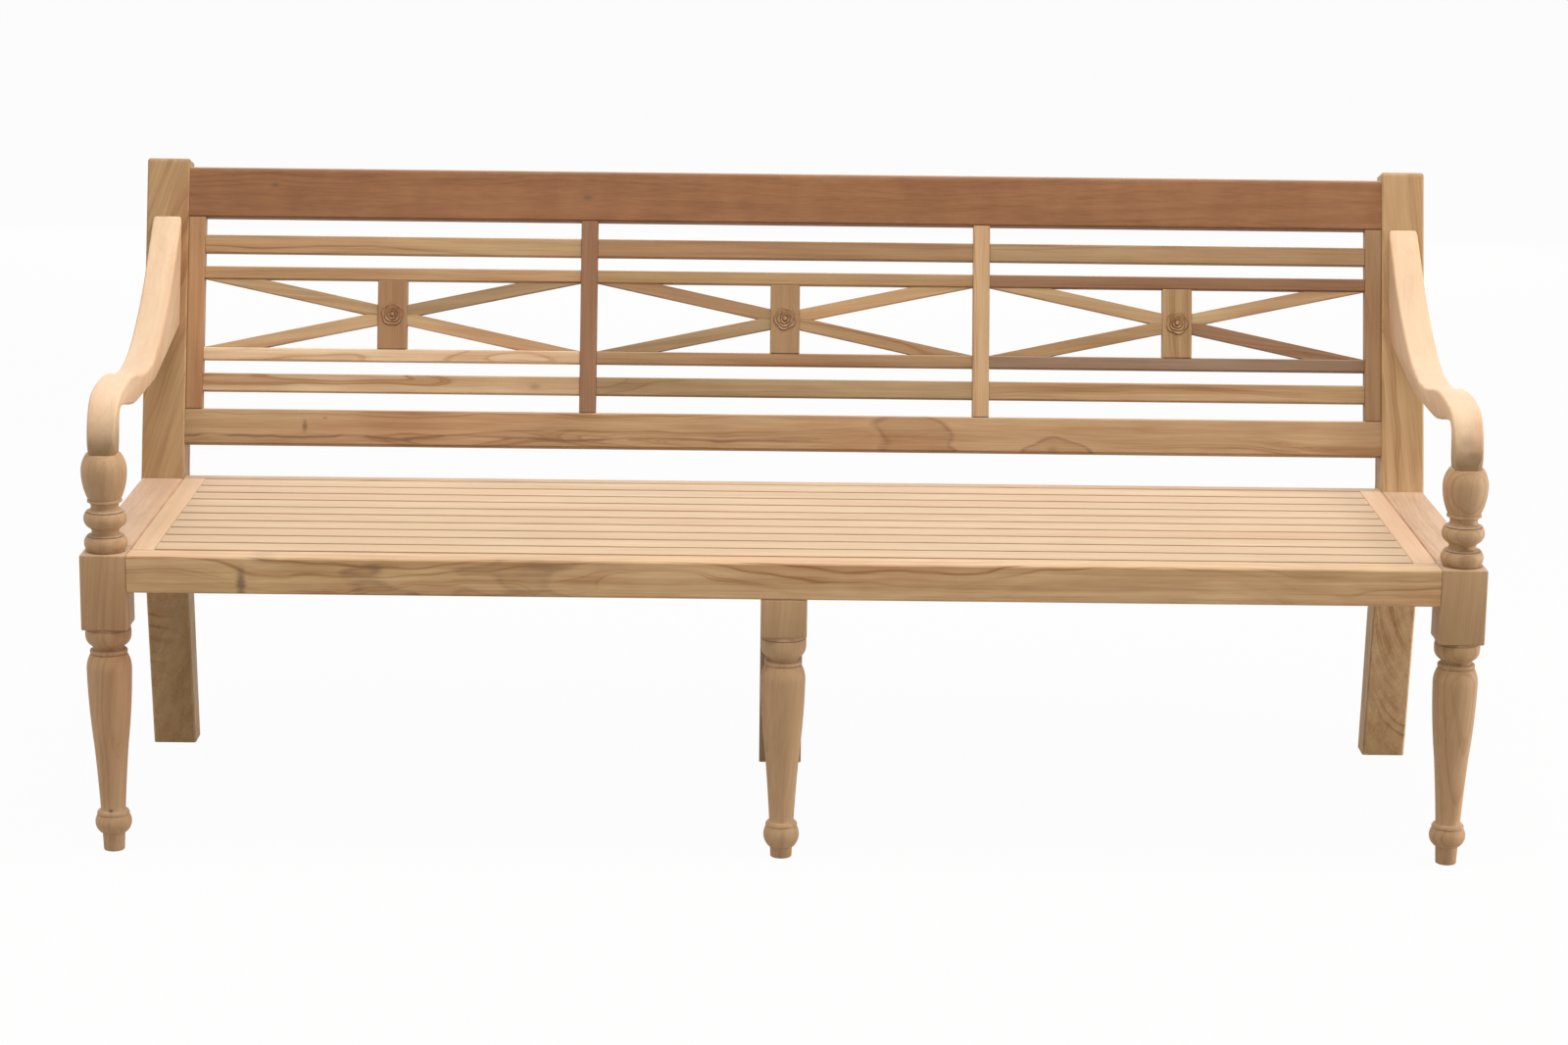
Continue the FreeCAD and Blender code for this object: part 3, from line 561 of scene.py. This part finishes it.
def board_teak(name, painted_shade_away=None):
    """The teak of one sawn board, or of what is carved on it."""
    tone, along = board_tones[name]
    low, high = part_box(name)
    return sawn_teak(
        name, tone, along, board_numbers[name], (low + high) / 2, found(board_figures, name, 1.0),
        found(board_curls, name, 1.0), board_knots.get(name, ()), board_flames.get(name, ()),
        board_streaks.get(name, ()), painted_shade_away=painted_shade_away, fades=found(board_fades, name, ()))


for name in board_tones:
    lay_on(boards[name], board_teak(name, SLAT_SIDE_SHADE if name.startswith("seat_slat") else None))
    ease_edges(boards[name], EASED_EDGE)
print("sawn boards finished:", len(board_tones))

# %% [markdown]
# ## The turned legs
# A turner cuts a leg from one square stick: the part that stays square is the block that takes the
# rails, and everything else is round about the same axis. So the outline is drawn once, as drops,
# radii and swells from the top down, and spun round the axis. The block is a cube whose lower
# corners are cut by the same lathe, which the Boolean modifier does with a second spun shape.

# %% Outline and spin
SPIN_STEPS = 72
SPIN_SEAM = 0.005 * MM
CURVE_STEPS = 9


def swelling(start, end, swell):
    """Points after the start of a stretch that bows out, or in, by the swell: an arc over its chord."""
    if swell == 0:
        return [end]
    half = math.dist(start, end) / 2
    radius = (half ** 2 + swell ** 2) / (2 * abs(swell))
    run = ((end[0] - start[0]) / (2 * half), (end[1] - start[1]) / (2 * half))
    points = []
    for step in range(1, CURVE_STEPS + 1):
        along = (2 * step / CURVE_STEPS - 1) * half
        off = math.copysign(math.sqrt(max(radius ** 2 - along ** 2, 0)) - (radius - abs(swell)), swell)
        middle = ((start[0] + end[0]) / 2, (start[1] + end[1]) / 2)
        points.append((middle[0] + run[0] * along - run[1] * off, middle[1] + run[1] * along + run[0] * off))
    return points


def outline_down(top_z, top_radius, steps):
    """Radius and height of every point of a turning, from its top down."""
    points = [(0.0, top_z), (top_radius * MM, top_z)]
    for drop, radius, swell in steps:
        start = points[-1]
        points += swelling(start, (radius * MM, start[1] - drop * MM), swell * MM)
    return points + [(0.0, points[-1][1])]


def start_alone():
    """Leaves edit mode with nothing selected."""
    if bpy.context.object and bpy.context.object.mode == "EDIT":
        bpy.ops.object.mode_set(mode="OBJECT")
    bpy.ops.object.select_all(action="DESELECT")


def drawn(name, corners):
    """A chain of edges from corner to corner, drawn as a pen would, left in edit mode and selected."""
    start_alone()
    # The small plane is merged to one point, where the pen starts
    bpy.ops.mesh.primitive_plane_add(size=0.01, location=(0, 0, 0))
    piece = bpy.context.object
    piece.name = name
    bpy.ops.object.mode_set(mode="EDIT")
    bpy.ops.mesh.select_all(action="SELECT")
    bpy.ops.mesh.merge(type="CENTER")
    bpy.ops.transform.translate(value=corners[0])
    for here, there in zip(corners, corners[1:]):
        bpy.ops.mesh.extrude_vertices_move(TRANSFORM_OT_translate={"value": there - here})
    bpy.ops.mesh.select_all(action="SELECT")
    return piece


def spun(name, outline, axis_x, axis_y):
    """Spins an outline round an upright axis."""
    piece = drawn(name, [Vector((axis_x + radius, axis_y, height)) for radius, height in outline])
    bpy.ops.mesh.spin(steps=SPIN_STEPS, angle=2 * math.pi, center=(axis_x, axis_y, 0), axis=(0, 0, 1))
    bpy.ops.mesh.select_all(action="SELECT")
    bpy.ops.mesh.remove_doubles(threshold=SPIN_SEAM)
    bpy.ops.mesh.normals_make_consistent(inside=False)
    bpy.ops.object.mode_set(mode="OBJECT")
    return piece


def combine(piece, other, operation):
    """Applies one Boolean between two closed pieces, and keeps the first."""
    start_alone()
    bpy.context.view_layer.objects.active = piece
    piece.select_set(True)
    boolean = piece.modifiers.new("cut", "BOOLEAN")
    boolean.operation = operation
    boolean.solver = "EXACT"
    boolean.object = other
    bpy.ops.object.modifier_apply(modifier=boolean.name)
    bpy.data.objects.remove(other)


def smooth(piece, degrees):
    """Smooth shading, but for edges sharper than the angle."""
    start_alone()
    bpy.context.view_layer.objects.active = piece
    piece.select_set(True)
    bpy.ops.object.shade_smooth_by_angle(angle=math.radians(degrees))


print("a spun piece has", SPIN_STEPS, "sides")

# %% [markdown]
# ### The square block
# The block is a primitive cube, scaled in edit mode and bevelled on its edges. The shape that cuts
# it is as wide as the stick's corners above and draws in below, as a skew chisel leaves it where the
# square meets the round.

# %% The square block
BLOCK_EDGE = 2.4 * MM
SHOULDER_HEIGHT = 4 * MM
SHOULDER_CUT = 3 * MM
SHOULDER_SWELL = 0.6 * MM
SPARE = 1 * MM


def square_block(name, axis_x, axis_y, bottom_z, top_z):
    """A leg's square part, with the foot of its corners turned away."""
    start_alone()
    bpy.ops.mesh.primitive_cube_add(size=1)
    block = bpy.context.object
    block.name = name
    bpy.ops.object.mode_set(mode="EDIT")
    bpy.ops.transform.resize(value=(leg_width, leg_width, top_z - bottom_z))
    bpy.ops.transform.translate(value=(axis_x, axis_y, (bottom_z + top_z) / 2))
    bpy.ops.object.mode_set(mode="OBJECT")
    bevel = block.modifiers.new("eased edges", "BEVEL")
    bevel.width = BLOCK_EDGE
    bevel.segments = 3
    bpy.ops.object.modifier_apply(modifier=bevel.name)
    corner = leg_width / 2 * math.sqrt(2)
    shoulder_top = (corner + SPARE, bottom_z + SHOULDER_HEIGHT)
    shoulder_foot = (corner - SHOULDER_CUT, bottom_z - SPARE)
    lathe = [(0, top_z + SPARE), (corner + SPARE, top_z + SPARE), shoulder_top]
    lathe += swelling(shoulder_top, shoulder_foot, SHOULDER_SWELL) + [(0, shoulder_foot[1])]
    combine(block, spun("lathe", lathe, axis_x, axis_y), "INTERSECT")
    return block


print("outer blocks are", round((seat_top_z - block_bottom_z) / MM), "mm high")

# %% [markdown]
# ### The turnings
# Each step of a turning is a drop, the radius at its foot, and a swell, all in millimetres. From its
# top down, an arm post is a vase on a thin fillet, a neck, a bead with a groove over it, a second
# neck, and a base bead with its groove. A lower leg is a cup, a neck, a thin bead, a long tapered
# vase, a collar, a ball and a stub foot. On the middle leg the cup is longer and the stub foot shorter.

# %% Drops, radii and swells
arm_post_turning = [
    (27.5, 32.4, 2.5), (38.5, 23.2, 2.2), (0.6, 24.6, 0), (3, 24.6, 0.3), (2.4, 20.4, -0.4), (4.4, 19.6, 0),
    (6.4, 26.6, -1.6), (0.2, 24.2, 0), (1.3, 24.2, 0), (0.2, 27.6, 0), (21.3, 24.5, 4.4), (1.2, 22.4, 0),
    (4.2, 19.4, -0.4), (2, 19.4, 0), (4.8, 25.8, -1.4), (0.2, 23.8, 0), (1.3, 23.8, 0), (0.2, 27.2, 0),
    (18.8, 27.6, 3.2), (3, 25.8, 0),
]
neck_and_shoulder = [
    (13.7, 24, 2.2), (3.3, 21.4, 0.2), (2, 21.4, 0), (1.5, 26.4, 0.4), (4.6, 26.4, 0.5), (0.6, 25.2, 0),
    (0.6, 26.2, 0), (25.2, 32.1, 1.9),
]
cup_turning = [(2.6, 32.4, 0), (1, 31.2, 0), (1, 32.5, 0), (9.4, 32.6, 0.3)] + neck_and_shoulder
middle_cup_turning = [(5.4, 32.4, 0), (1, 31, 0), (1, 32.5, 0), (12.6, 32.6, 0.3)] + neck_and_shoulder
foot_turning = [
    (3, 21.4, -0.8), (4.4, 23.4, 0.5), (0.8, 22.4, 0), (28.8, 16.2, 6.6), (24, 15, 0), (1.5, 13.4, 0.4),
]
middle_foot_turning = [
    (3.2, 21, -0.8), (4.6, 23, 0.5), (0.8, 22, 0), (33.4, 16, 6.6), (12.5, 15.5, 0), (1.5, 14, 0.4),
]


def total_drop(steps):
    """How far a list of turning steps comes down, in metres."""
    return sum(step[0] for step in steps) * MM


def lower_turning(bottom_z, cup, foot):
    """The steps from a block's underside down to the floor, with the vase's taper in between."""
    taper = (bottom_z - total_drop(cup) - total_drop(foot)) / MM
    return cup + [(taper * 0.53, 24.6, 1.4), (taper * 0.47, 17.8, -0.4)] + foot


outer_lower = lower_turning(block_bottom_z, cup_turning, foot_turning)
middle_lower = lower_turning(middle_block_bottom_z, middle_cup_turning, middle_foot_turning)
print("the arm post is", round(total_drop(arm_post_turning) / MM, 1), "mm high")

# %% [markdown]
# ### The three legs
# Block and turnings are joined to one closed shape by a Boolean union, as they are one stick of
# wood. Each turning runs 2 mm into the block, so that the union has something to bite on. The left
# leg has a small knot just over its ball.

# %% Turn the legs
OVERLAP = 2
ROUND_RADIUS = 31
POST_TOP_RADIUS = 24.5
POST_FOOT_RADIUS = 25
UP_THE_LEG = (0.08, 0, 1)
LEG_FIGURE = 0.55

leg_knots = {"turned_leg_left": [mark(-leg_axis_x, leg_axis_y, 62 * MM, 3.4, 3.4, 0.8)]}


def turned_leg(name, axis_x, bottom_z, top_z, seed, lower, post=()):
    """One turned leg: block, lower leg and, on the outer ones, the arm post."""
    leg = square_block(name, axis_x, leg_axis_y, bottom_z, top_z)
    steps = [(OVERLAP, ROUND_RADIUS, 0)] + lower
    outline = outline_down(bottom_z + OVERLAP * MM, ROUND_RADIUS, steps)
    combine(leg, spun("lower", outline, axis_x, leg_axis_y), "UNION")
    if post:
        outline = outline_down(arm_bottom_z, POST_TOP_RADIUS, post + [(OVERLAP, POST_FOOT_RADIUS, 0)])
        combine(leg, spun("post", outline, axis_x, leg_axis_y), "UNION")
    smooth(leg, 35)
    middle = Vector((axis_x, leg_axis_y, bottom_z))
    knots = leg_knots.get(name, ())
    lay_on(leg, sawn_teak(name, "wheat", UP_THE_LEG, seed, middle, LEG_FIGURE, knots=knots))
    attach(leg, "root")
    print(name, len(leg.data.polygons), "faces")
    return leg


left_leg = turned_leg(
    "turned_leg_left", -leg_axis_x, block_bottom_z, seat_top_z, 71, outer_lower, arm_post_turning)
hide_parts("front_leg_left")
right_leg = turned_leg(
    "turned_leg_right", leg_axis_x, block_bottom_z, seat_top_z, 72, outer_lower, arm_post_turning)
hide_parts("front_leg_right")
middle_leg = turned_leg("turned_leg_middle", 0.0, middle_block_bottom_z, rail_bottom_z, 73, middle_lower)
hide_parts("front_leg_middle")

# %% [markdown]
# ## The swan-neck arms
# An arm is sawn from a wide board along a line of arcs that run into each other, planed narrower
# towards its neck, and rounded over by hand. The outline is walked along as a pen would draw it:
# each bend is a radius and a turn. It is then extruded to the arm's width, narrowed by moving its
# vertices sideways, and rounded with a bevel, and the foot of the neck is cut round to sit on the post.

# %% The arm's outline
BEND_STEP = math.radians(3)
NECK_SPARE = 12 * MM
arm_setback = 11 * MM
arm_neck_depth = 43 * MM
arm_neck_front_height = 10.5 * MM
arm_crook_height = 60 * MM
arm_crook_radius = 14 * MM
arm_housing = 30 * MM

# Radius in millimetres and turn in degrees of each bend
arm_top_bends = [(59, -20.5), (80, -59.2), (385, -22.5), (315, 35.4), (615, 16.4)]
arm_underside_bends = [(220, -12.6), (627, 16.8), (1010, 5.8)]
post_foot = Vector((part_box("side_rail_right")[1].y - arm_housing, seat_top_z))


def heading_way(heading):
    """The unit step along a heading in the Y-Z plane."""
    return Vector((math.cos(heading), math.sin(heading)))


def along_bends(start, heading, bends):
    """Points along tangent arcs, then straight on to the back post's front face."""
    points = [start]
    for radius, turn in bends:
        steps = max(2, math.ceil(math.radians(abs(turn)) / BEND_STEP))
        step_turn = math.radians(turn) / steps
        chord = 2 * radius * MM * math.sin(abs(step_turn) / 2)
        for _ in range(steps):
            points.append(points[-1] + heading_way(heading + step_turn / 2) * chord)
            heading += step_turn
    off_face = Vector((math.cos(lean), -math.sin(lean)))
    way = heading_way(heading)
    points.append(points[-1] + way * ((post_foot - points[-1]).dot(off_face) / way.dot(off_face)))
    return points


def arm_outline():
    """The closed outline of an arm, as Y and Z, with some spare wood below its foot."""
    front_y = front_face_y + arm_setback
    neck_front = Vector((front_y, arm_bottom_z + arm_neck_front_height))
    top = along_bends(neck_front, math.radians(90), arm_top_bends)
    crook_y = front_y + arm_neck_depth + arm_crook_radius
    crook_top = Vector((crook_y, arm_bottom_z + arm_crook_height))
    below = along_bends(crook_top, 0, arm_underside_bends)
    centre = crook_top - Vector((0, arm_crook_radius))
    crook = [centre + heading_way(math.radians(angle)) * arm_crook_radius for angle in range(105, 181, 15)]
    spare_z = arm_bottom_z - NECK_SPARE
    foot = [Vector((front_y + arm_neck_depth, spare_z)), Vector((front_y, spare_z))]
    return top + below[::-1] + crook + foot


print("arm outline of", len(arm_outline()), "points")

# %% [markdown]
# ### Saw, plane and round the arms
# The outline is filled, extruded and then widened to the board's own width, which narrows towards
# the neck. The foot is cut by a spun shape that is far wider than the arm above the crook and comes
# in to the round of the post below it. The neck is painted darker towards its foot, as painted shade
# below the bright top of the arm, and the right one has a pair of faint knots.

# %% Saw, plane and round the arms
arm_width = 45 * MM
arm_neck_width = 38.5 * MM
widening_backwards = 0.011
widening_upwards = 0.033
ARM_ROUNDING = 4 * MM
ARM_SHARP_EDGE = math.radians(50)
WIDE_OF_THE_ARM = 0.9
OVER_THE_ARM = 400 * MM
ALONG_THE_ARM = (0, 0.85, 0.5)
ARM_FIGURE = 0.2
ARM_END_DARK = 0.2

# Radius and height above the post of the cutter that rounds the foot of the neck
neck_cutter = [(34, 44), (29, 26), (25, 8), (23.5, 0), (0, 0)]
# Painted shade: the neck greys towards its foot, full 5 mm below the arm's foot and gone 74 mm above it
neck_painted_shade = (arm_bottom_z - 5 * MM, arm_bottom_z + 74 * MM, 0.9)
arm_knots = {"swan_neck_arm_right": [
    mark(leg_axis_x - 3 * MM, leg_axis_y, arm_bottom_z + 40 * MM, 11, 9, 0.22),
    mark(leg_axis_x + 5 * MM, leg_axis_y, arm_bottom_z + 22 * MM, 9, 6, 0.25),
]}


def arm_half_width(y, z):
    """Half the arm's width at a place on its side."""
    widening = widening_backwards * (y - leg_axis_y) + widening_upwards * (z - arm_bottom_z)
    return min(arm_width / 2, arm_neck_width / 2 + widening)


def sawn_arm(name, axis_x):
    """The arm's board, sawn to its outline and planed to its widths."""
    arm = drawn(name, [Vector((axis_x - 0.5 * MM, *corner)) for corner in arm_outline()])
    bpy.ops.mesh.edge_face_add()
    bpy.ops.mesh.extrude_region_move(TRANSFORM_OT_translate={"value": (1 * MM, 0, 0)})
    bpy.ops.mesh.select_all(action="SELECT")
    bpy.ops.mesh.normals_make_consistent(inside=False)
    bpy.ops.object.mode_set(mode="OBJECT")
    for vertex in arm.data.vertices:
        side = 1 if vertex.co.x > axis_x else -1
        vertex.co.x = axis_x + side * arm_half_width(vertex.co.y, vertex.co.z)
    return arm


def swan_neck_arm(name, axis_x, seed):
    """One arm, from its round foot on the arm post to the back post."""
    arm = sawn_arm(name, axis_x)
    bevel = arm.modifiers.new("rounded over", "BEVEL")
    bevel.width = ARM_ROUNDING
    bevel.segments = 4
    bevel.limit_method = "ANGLE"
    bevel.angle_limit = ARM_SHARP_EDGE
    bpy.ops.object.modifier_apply(modifier=bevel.name)
    cutter = [(0, arm_bottom_z + OVER_THE_ARM), (WIDE_OF_THE_ARM, arm_bottom_z + OVER_THE_ARM)]
    cutter += [(WIDE_OF_THE_ARM, arm_bottom_z + arm_crook_height)]
    cutter += [(radius * MM, arm_bottom_z + height * MM) for radius, height in neck_cutter]
    combine(arm, spun("neck", cutter, axis_x, leg_axis_y), "INTERSECT")
    smooth(arm, 30)
    middle = Vector((axis_x, 0, arm_bottom_z + 100 * MM))
    lay_on(arm, sawn_teak(
        name, "butter", ALONG_THE_ARM, seed, middle, ARM_FIGURE, knots=arm_knots.get(name, ()),
        end_dark=ARM_END_DARK, fades=[neck_painted_shade]))
    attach(arm, "root")
    print(name, len(arm.data.polygons), "faces")
    return arm


left_arm = swan_neck_arm("swan_neck_arm_left", -leg_axis_x, 81)
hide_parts("arm_left")
right_arm = swan_neck_arm("swan_neck_arm_right", leg_axis_x, 82)
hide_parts("arm_right")

# %% [markdown]
# ## The rosettes
# On each centre board a rose is carved in low relief: a bud, and petals that overlap round it. A
# carver sinks the ground a little and cuts each petal as a shallow cup with a lip. Here a flat disc
# is spun at the origin with many rings, and its top is moved up or down like that, before the
# flower is leaned back with the board.

# %% The relief
# Reach, height, number of petals and turn of the bud and of each ring of petals, in millimetres and radians
petal_rings = ((3.8, 3.4, 0, 0.0), (8.4, 3.1, 3, 0.6), (13.2, 2.7, 4, 0.1), (18.0, 2.1, 5, 0.9))
BETWEEN_PETALS = 0.16
LIP = 0.16
GROUND = 0.15


def carved_height(radius, angle):
    """How high the relief stands, in millimetres, at a place on the disc."""
    inner = 0.0
    for reach, height, petals, turn in petal_rings:
        lobe = 1 - BETWEEN_PETALS * (1 - abs(math.sin(petals * angle / 2 + turn))) if petals else 1.0
        outer = reach * lobe
        if radius <= outer:
            out = (radius - inner) / (outer - inner)
            if petals == 0:
                return height * math.sqrt(1 - 0.7 * out ** 2)
            lip = min(1, (1 - out) / LIP)
            return height * (0.25 + 0.75 * out ** 1.3) * (0.35 + 0.65 * lip)
        inner = outer
    return GROUND


print("the bud stands", carved_height(0, 0), "mm high")

# %% [markdown]
# ### Three flowers
# The disc's top has a ring every half millimetre, and its rim goes 1 mm down into the board. Each
# flower is turned a little further than the one before, as no two are carved quite alike.

# %% Carve the rosettes
RING_STEP = 0.5 * MM
RING_COUNT = 36
DISC_RADIUS = 18.5 * MM
DISC_DEPTH = 1 * MM
ROSETTE_TURN = 0.8
centre_board_thickness = 22 * MM


def rosette(name, board, turn):
    """A flower carved from the wood of its centre board."""
    rings = [(number * RING_STEP, 0) for number in range(RING_COUNT + 1)]
    flower = spun(name, rings + [(DISC_RADIUS, -DISC_DEPTH), (0, -DISC_DEPTH)], 0, 0)
    for vertex in flower.data.vertices:
        if vertex.co.z > -DISC_DEPTH / 2:
            radius = math.hypot(vertex.co.x, vertex.co.y) / MM
            angle = math.atan2(vertex.co.y, vertex.co.x) + turn
            vertex.co.z += carved_height(radius, angle) * MM
    low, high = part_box(board)
    face = (low + high) / 2 + out_of_the_back * (centre_board_thickness / 2)
    placed = Matrix.Translation(face) @ Matrix((
        (1, 0, out_of_the_back.x, 0), (0, up_the_back.y, out_of_the_back.y, 0),
        (0, up_the_back.z, out_of_the_back.z, 0), (0, 0, 0, 1),
    ))
    flower.data.transform(placed)
    smooth(flower, 50)
    # The petals' slopes get painted shade, for the hollows of the carving
    lay_on(flower, board_teak(board, (out_of_the_back, 0.85)))
    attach(flower, "root")


for number, bay in enumerate(("left", "middle", "right")):
    rosette("rosette_" + bay, "centre_board_" + bay, ROSETTE_TURN * number)
print("three rosettes carved")

# %% [markdown]
# ## Floor and background
# The bench stands on a plain pale floor. To the camera the background is white and the floor nearly
# so: 3.5% of the floor's own look is left, so that the bench keeps a faint shadow. To the bench the
# floor is plain matt paint and the background a soft white light.

# %% Floor and background
FLOOR_SIZE = 40
FLOOR_WHITE = 0.965
SKY_STRENGTH = 0.34


def white_to_the_camera(tree, shader, share):
    """Mixes plain white into a shader, for camera, mirror and clear rays only."""
    camera_ray, glossy, clear = (
        add_node(tree, "LightPath", output=ray)
        for ray in ("Is Camera Ray", "Is Glossy Ray", "Is Transmission Ray")
    )
    mirror = add_node(tree, "Math", (glossy, clear), operation="MAXIMUM")
    seen = add_node(tree, "Math", (camera_ray, mirror), operation="MAXIMUM")
    amount = add_node(tree, "Math", (seen, share), operation="MULTIPLY")
    white = add_node(tree, "Emission", {"Color": (1, 1, 1, 1), "Strength": 1.0})
    return add_node(tree, "MixShader", (amount, shader, white))


start_alone()
bpy.ops.mesh.primitive_plane_add(size=FLOOR_SIZE, location=(0, 0, 0))
floor = bpy.context.object
floor.name = "floor"
paint = bpy.data.materials.new("pale_floor")
paint.use_nodes = True
matt = paint.node_tree.nodes["Principled BSDF"]
matt.inputs["Base Color"].default_value = srgb("#BDB9B3")
matt.inputs["Roughness"].default_value = 0.9
mixed = white_to_the_camera(paint.node_tree, matt.outputs[0], FLOOR_WHITE)
paint.node_tree.links.new(mixed, paint.node_tree.nodes["Material Output"].inputs[0])
lay_on(floor, paint)

world = bpy.data.worlds.new("studio")
bpy.context.scene.world = world
world.use_nodes = True
sky = world.node_tree.nodes["Background"]
sky.inputs["Color"].default_value = (1, 1, 1, 1)
sky.inputs["Strength"].default_value = SKY_STRENGTH
mixed = white_to_the_camera(world.node_tree, sky.outputs[0], 1.0)
world.node_tree.links.new(mixed, world.node_tree.nodes["World Output"].inputs[0])
print("floor and background are in place")

# %% [markdown]
# ## Lamps
# The light in the photograph is that of a studio: a wide soft box overhead, which makes the seat
# and the arms the brightest parts, a strong one on the right, a weak one on the left and two low
# ones, in front and behind, that lift the shade under the seat. No lamp shows to the camera.

# %% Soft boxes
def soft_box(name, place, target, width, depth, watts):
    """A large area lamp that looks at a point."""
    lamp = bpy.data.lights.new(name, "AREA")
    lamp.shape = "RECTANGLE"
    lamp.size = width
    lamp.size_y = depth
    lamp.energy = watts
    holder = bpy.data.objects.new(name, lamp)
    bpy.context.scene.collection.objects.link(holder)
    turn = (Vector(target) - Vector(place)).to_track_quat("-Z", "Y")
    holder.matrix_world = Matrix.LocRotScale(Vector(place), turn, None)
    holder.visible_camera = False
    print(name, watts, "W")


soft_box("overhead", (0.2, -0.75, 3.4), (0, 0, 0.45), 4.5, 2.0, 142)
soft_box("right_side", (4.6, -0.3, 0.62), (0, 0, 0.3), 2.4, 1.2, 130)
soft_box("left_side", (-4.6, -0.3, 0.5), (0, 0, 0.3), 2.4, 1.0, 35)
soft_box("low_front", (0, -7, 0.6), (0, 0, 0.3), 5, 1.0, 35)
soft_box("behind", (0, 6, 1.0), (0, 0, 0.4), 5, 1.6, 70)

# %% [markdown]
# ## Camera
# The camera was solved from the bench's own parallel and square edges, for a picture 1600 pixels
# wide. It stands 5.1 m in front of the bench and 1.64 m up, looks down by 12.6 degrees, and is
# turned and rolled by less than a degree.

# %% Camera
focal_px = 3757.5
frame_width_px = 1600
camera_place = Vector((-0.0357, -5.0836 + front_face_y, 1.6379))
camera_yaw, camera_pitch, camera_roll = 0.0067, 0.2196, 0.0125

lens = bpy.data.cameras.new("camera")
lens.sensor_width = 36
lens.lens = lens.sensor_width * focal_px / frame_width_px
lens.clip_end = 100
camera = bpy.data.objects.new("camera", lens)
bpy.context.scene.collection.objects.link(camera)
forward = Vector((
    math.sin(camera_yaw) * math.cos(camera_pitch),
    math.cos(camera_yaw) * math.cos(camera_pitch),
    -math.sin(camera_pitch),
))
level = Vector((math.cos(camera_yaw), -math.sin(camera_yaw), 0))
upright = level.cross(forward)
right = level * math.cos(camera_roll) + upright * math.sin(camera_roll)
up = upright * math.cos(camera_roll) - level * math.sin(camera_roll)
axes = Matrix((right, up, -forward)).transposed().to_4x4()
camera.matrix_world = Matrix.Translation(camera_place) @ axes
bpy.context.scene.camera = camera
bpy.context.scene.view_settings.view_transform = "Standard"
print("lens of", round(lens.lens, 1), "mm")
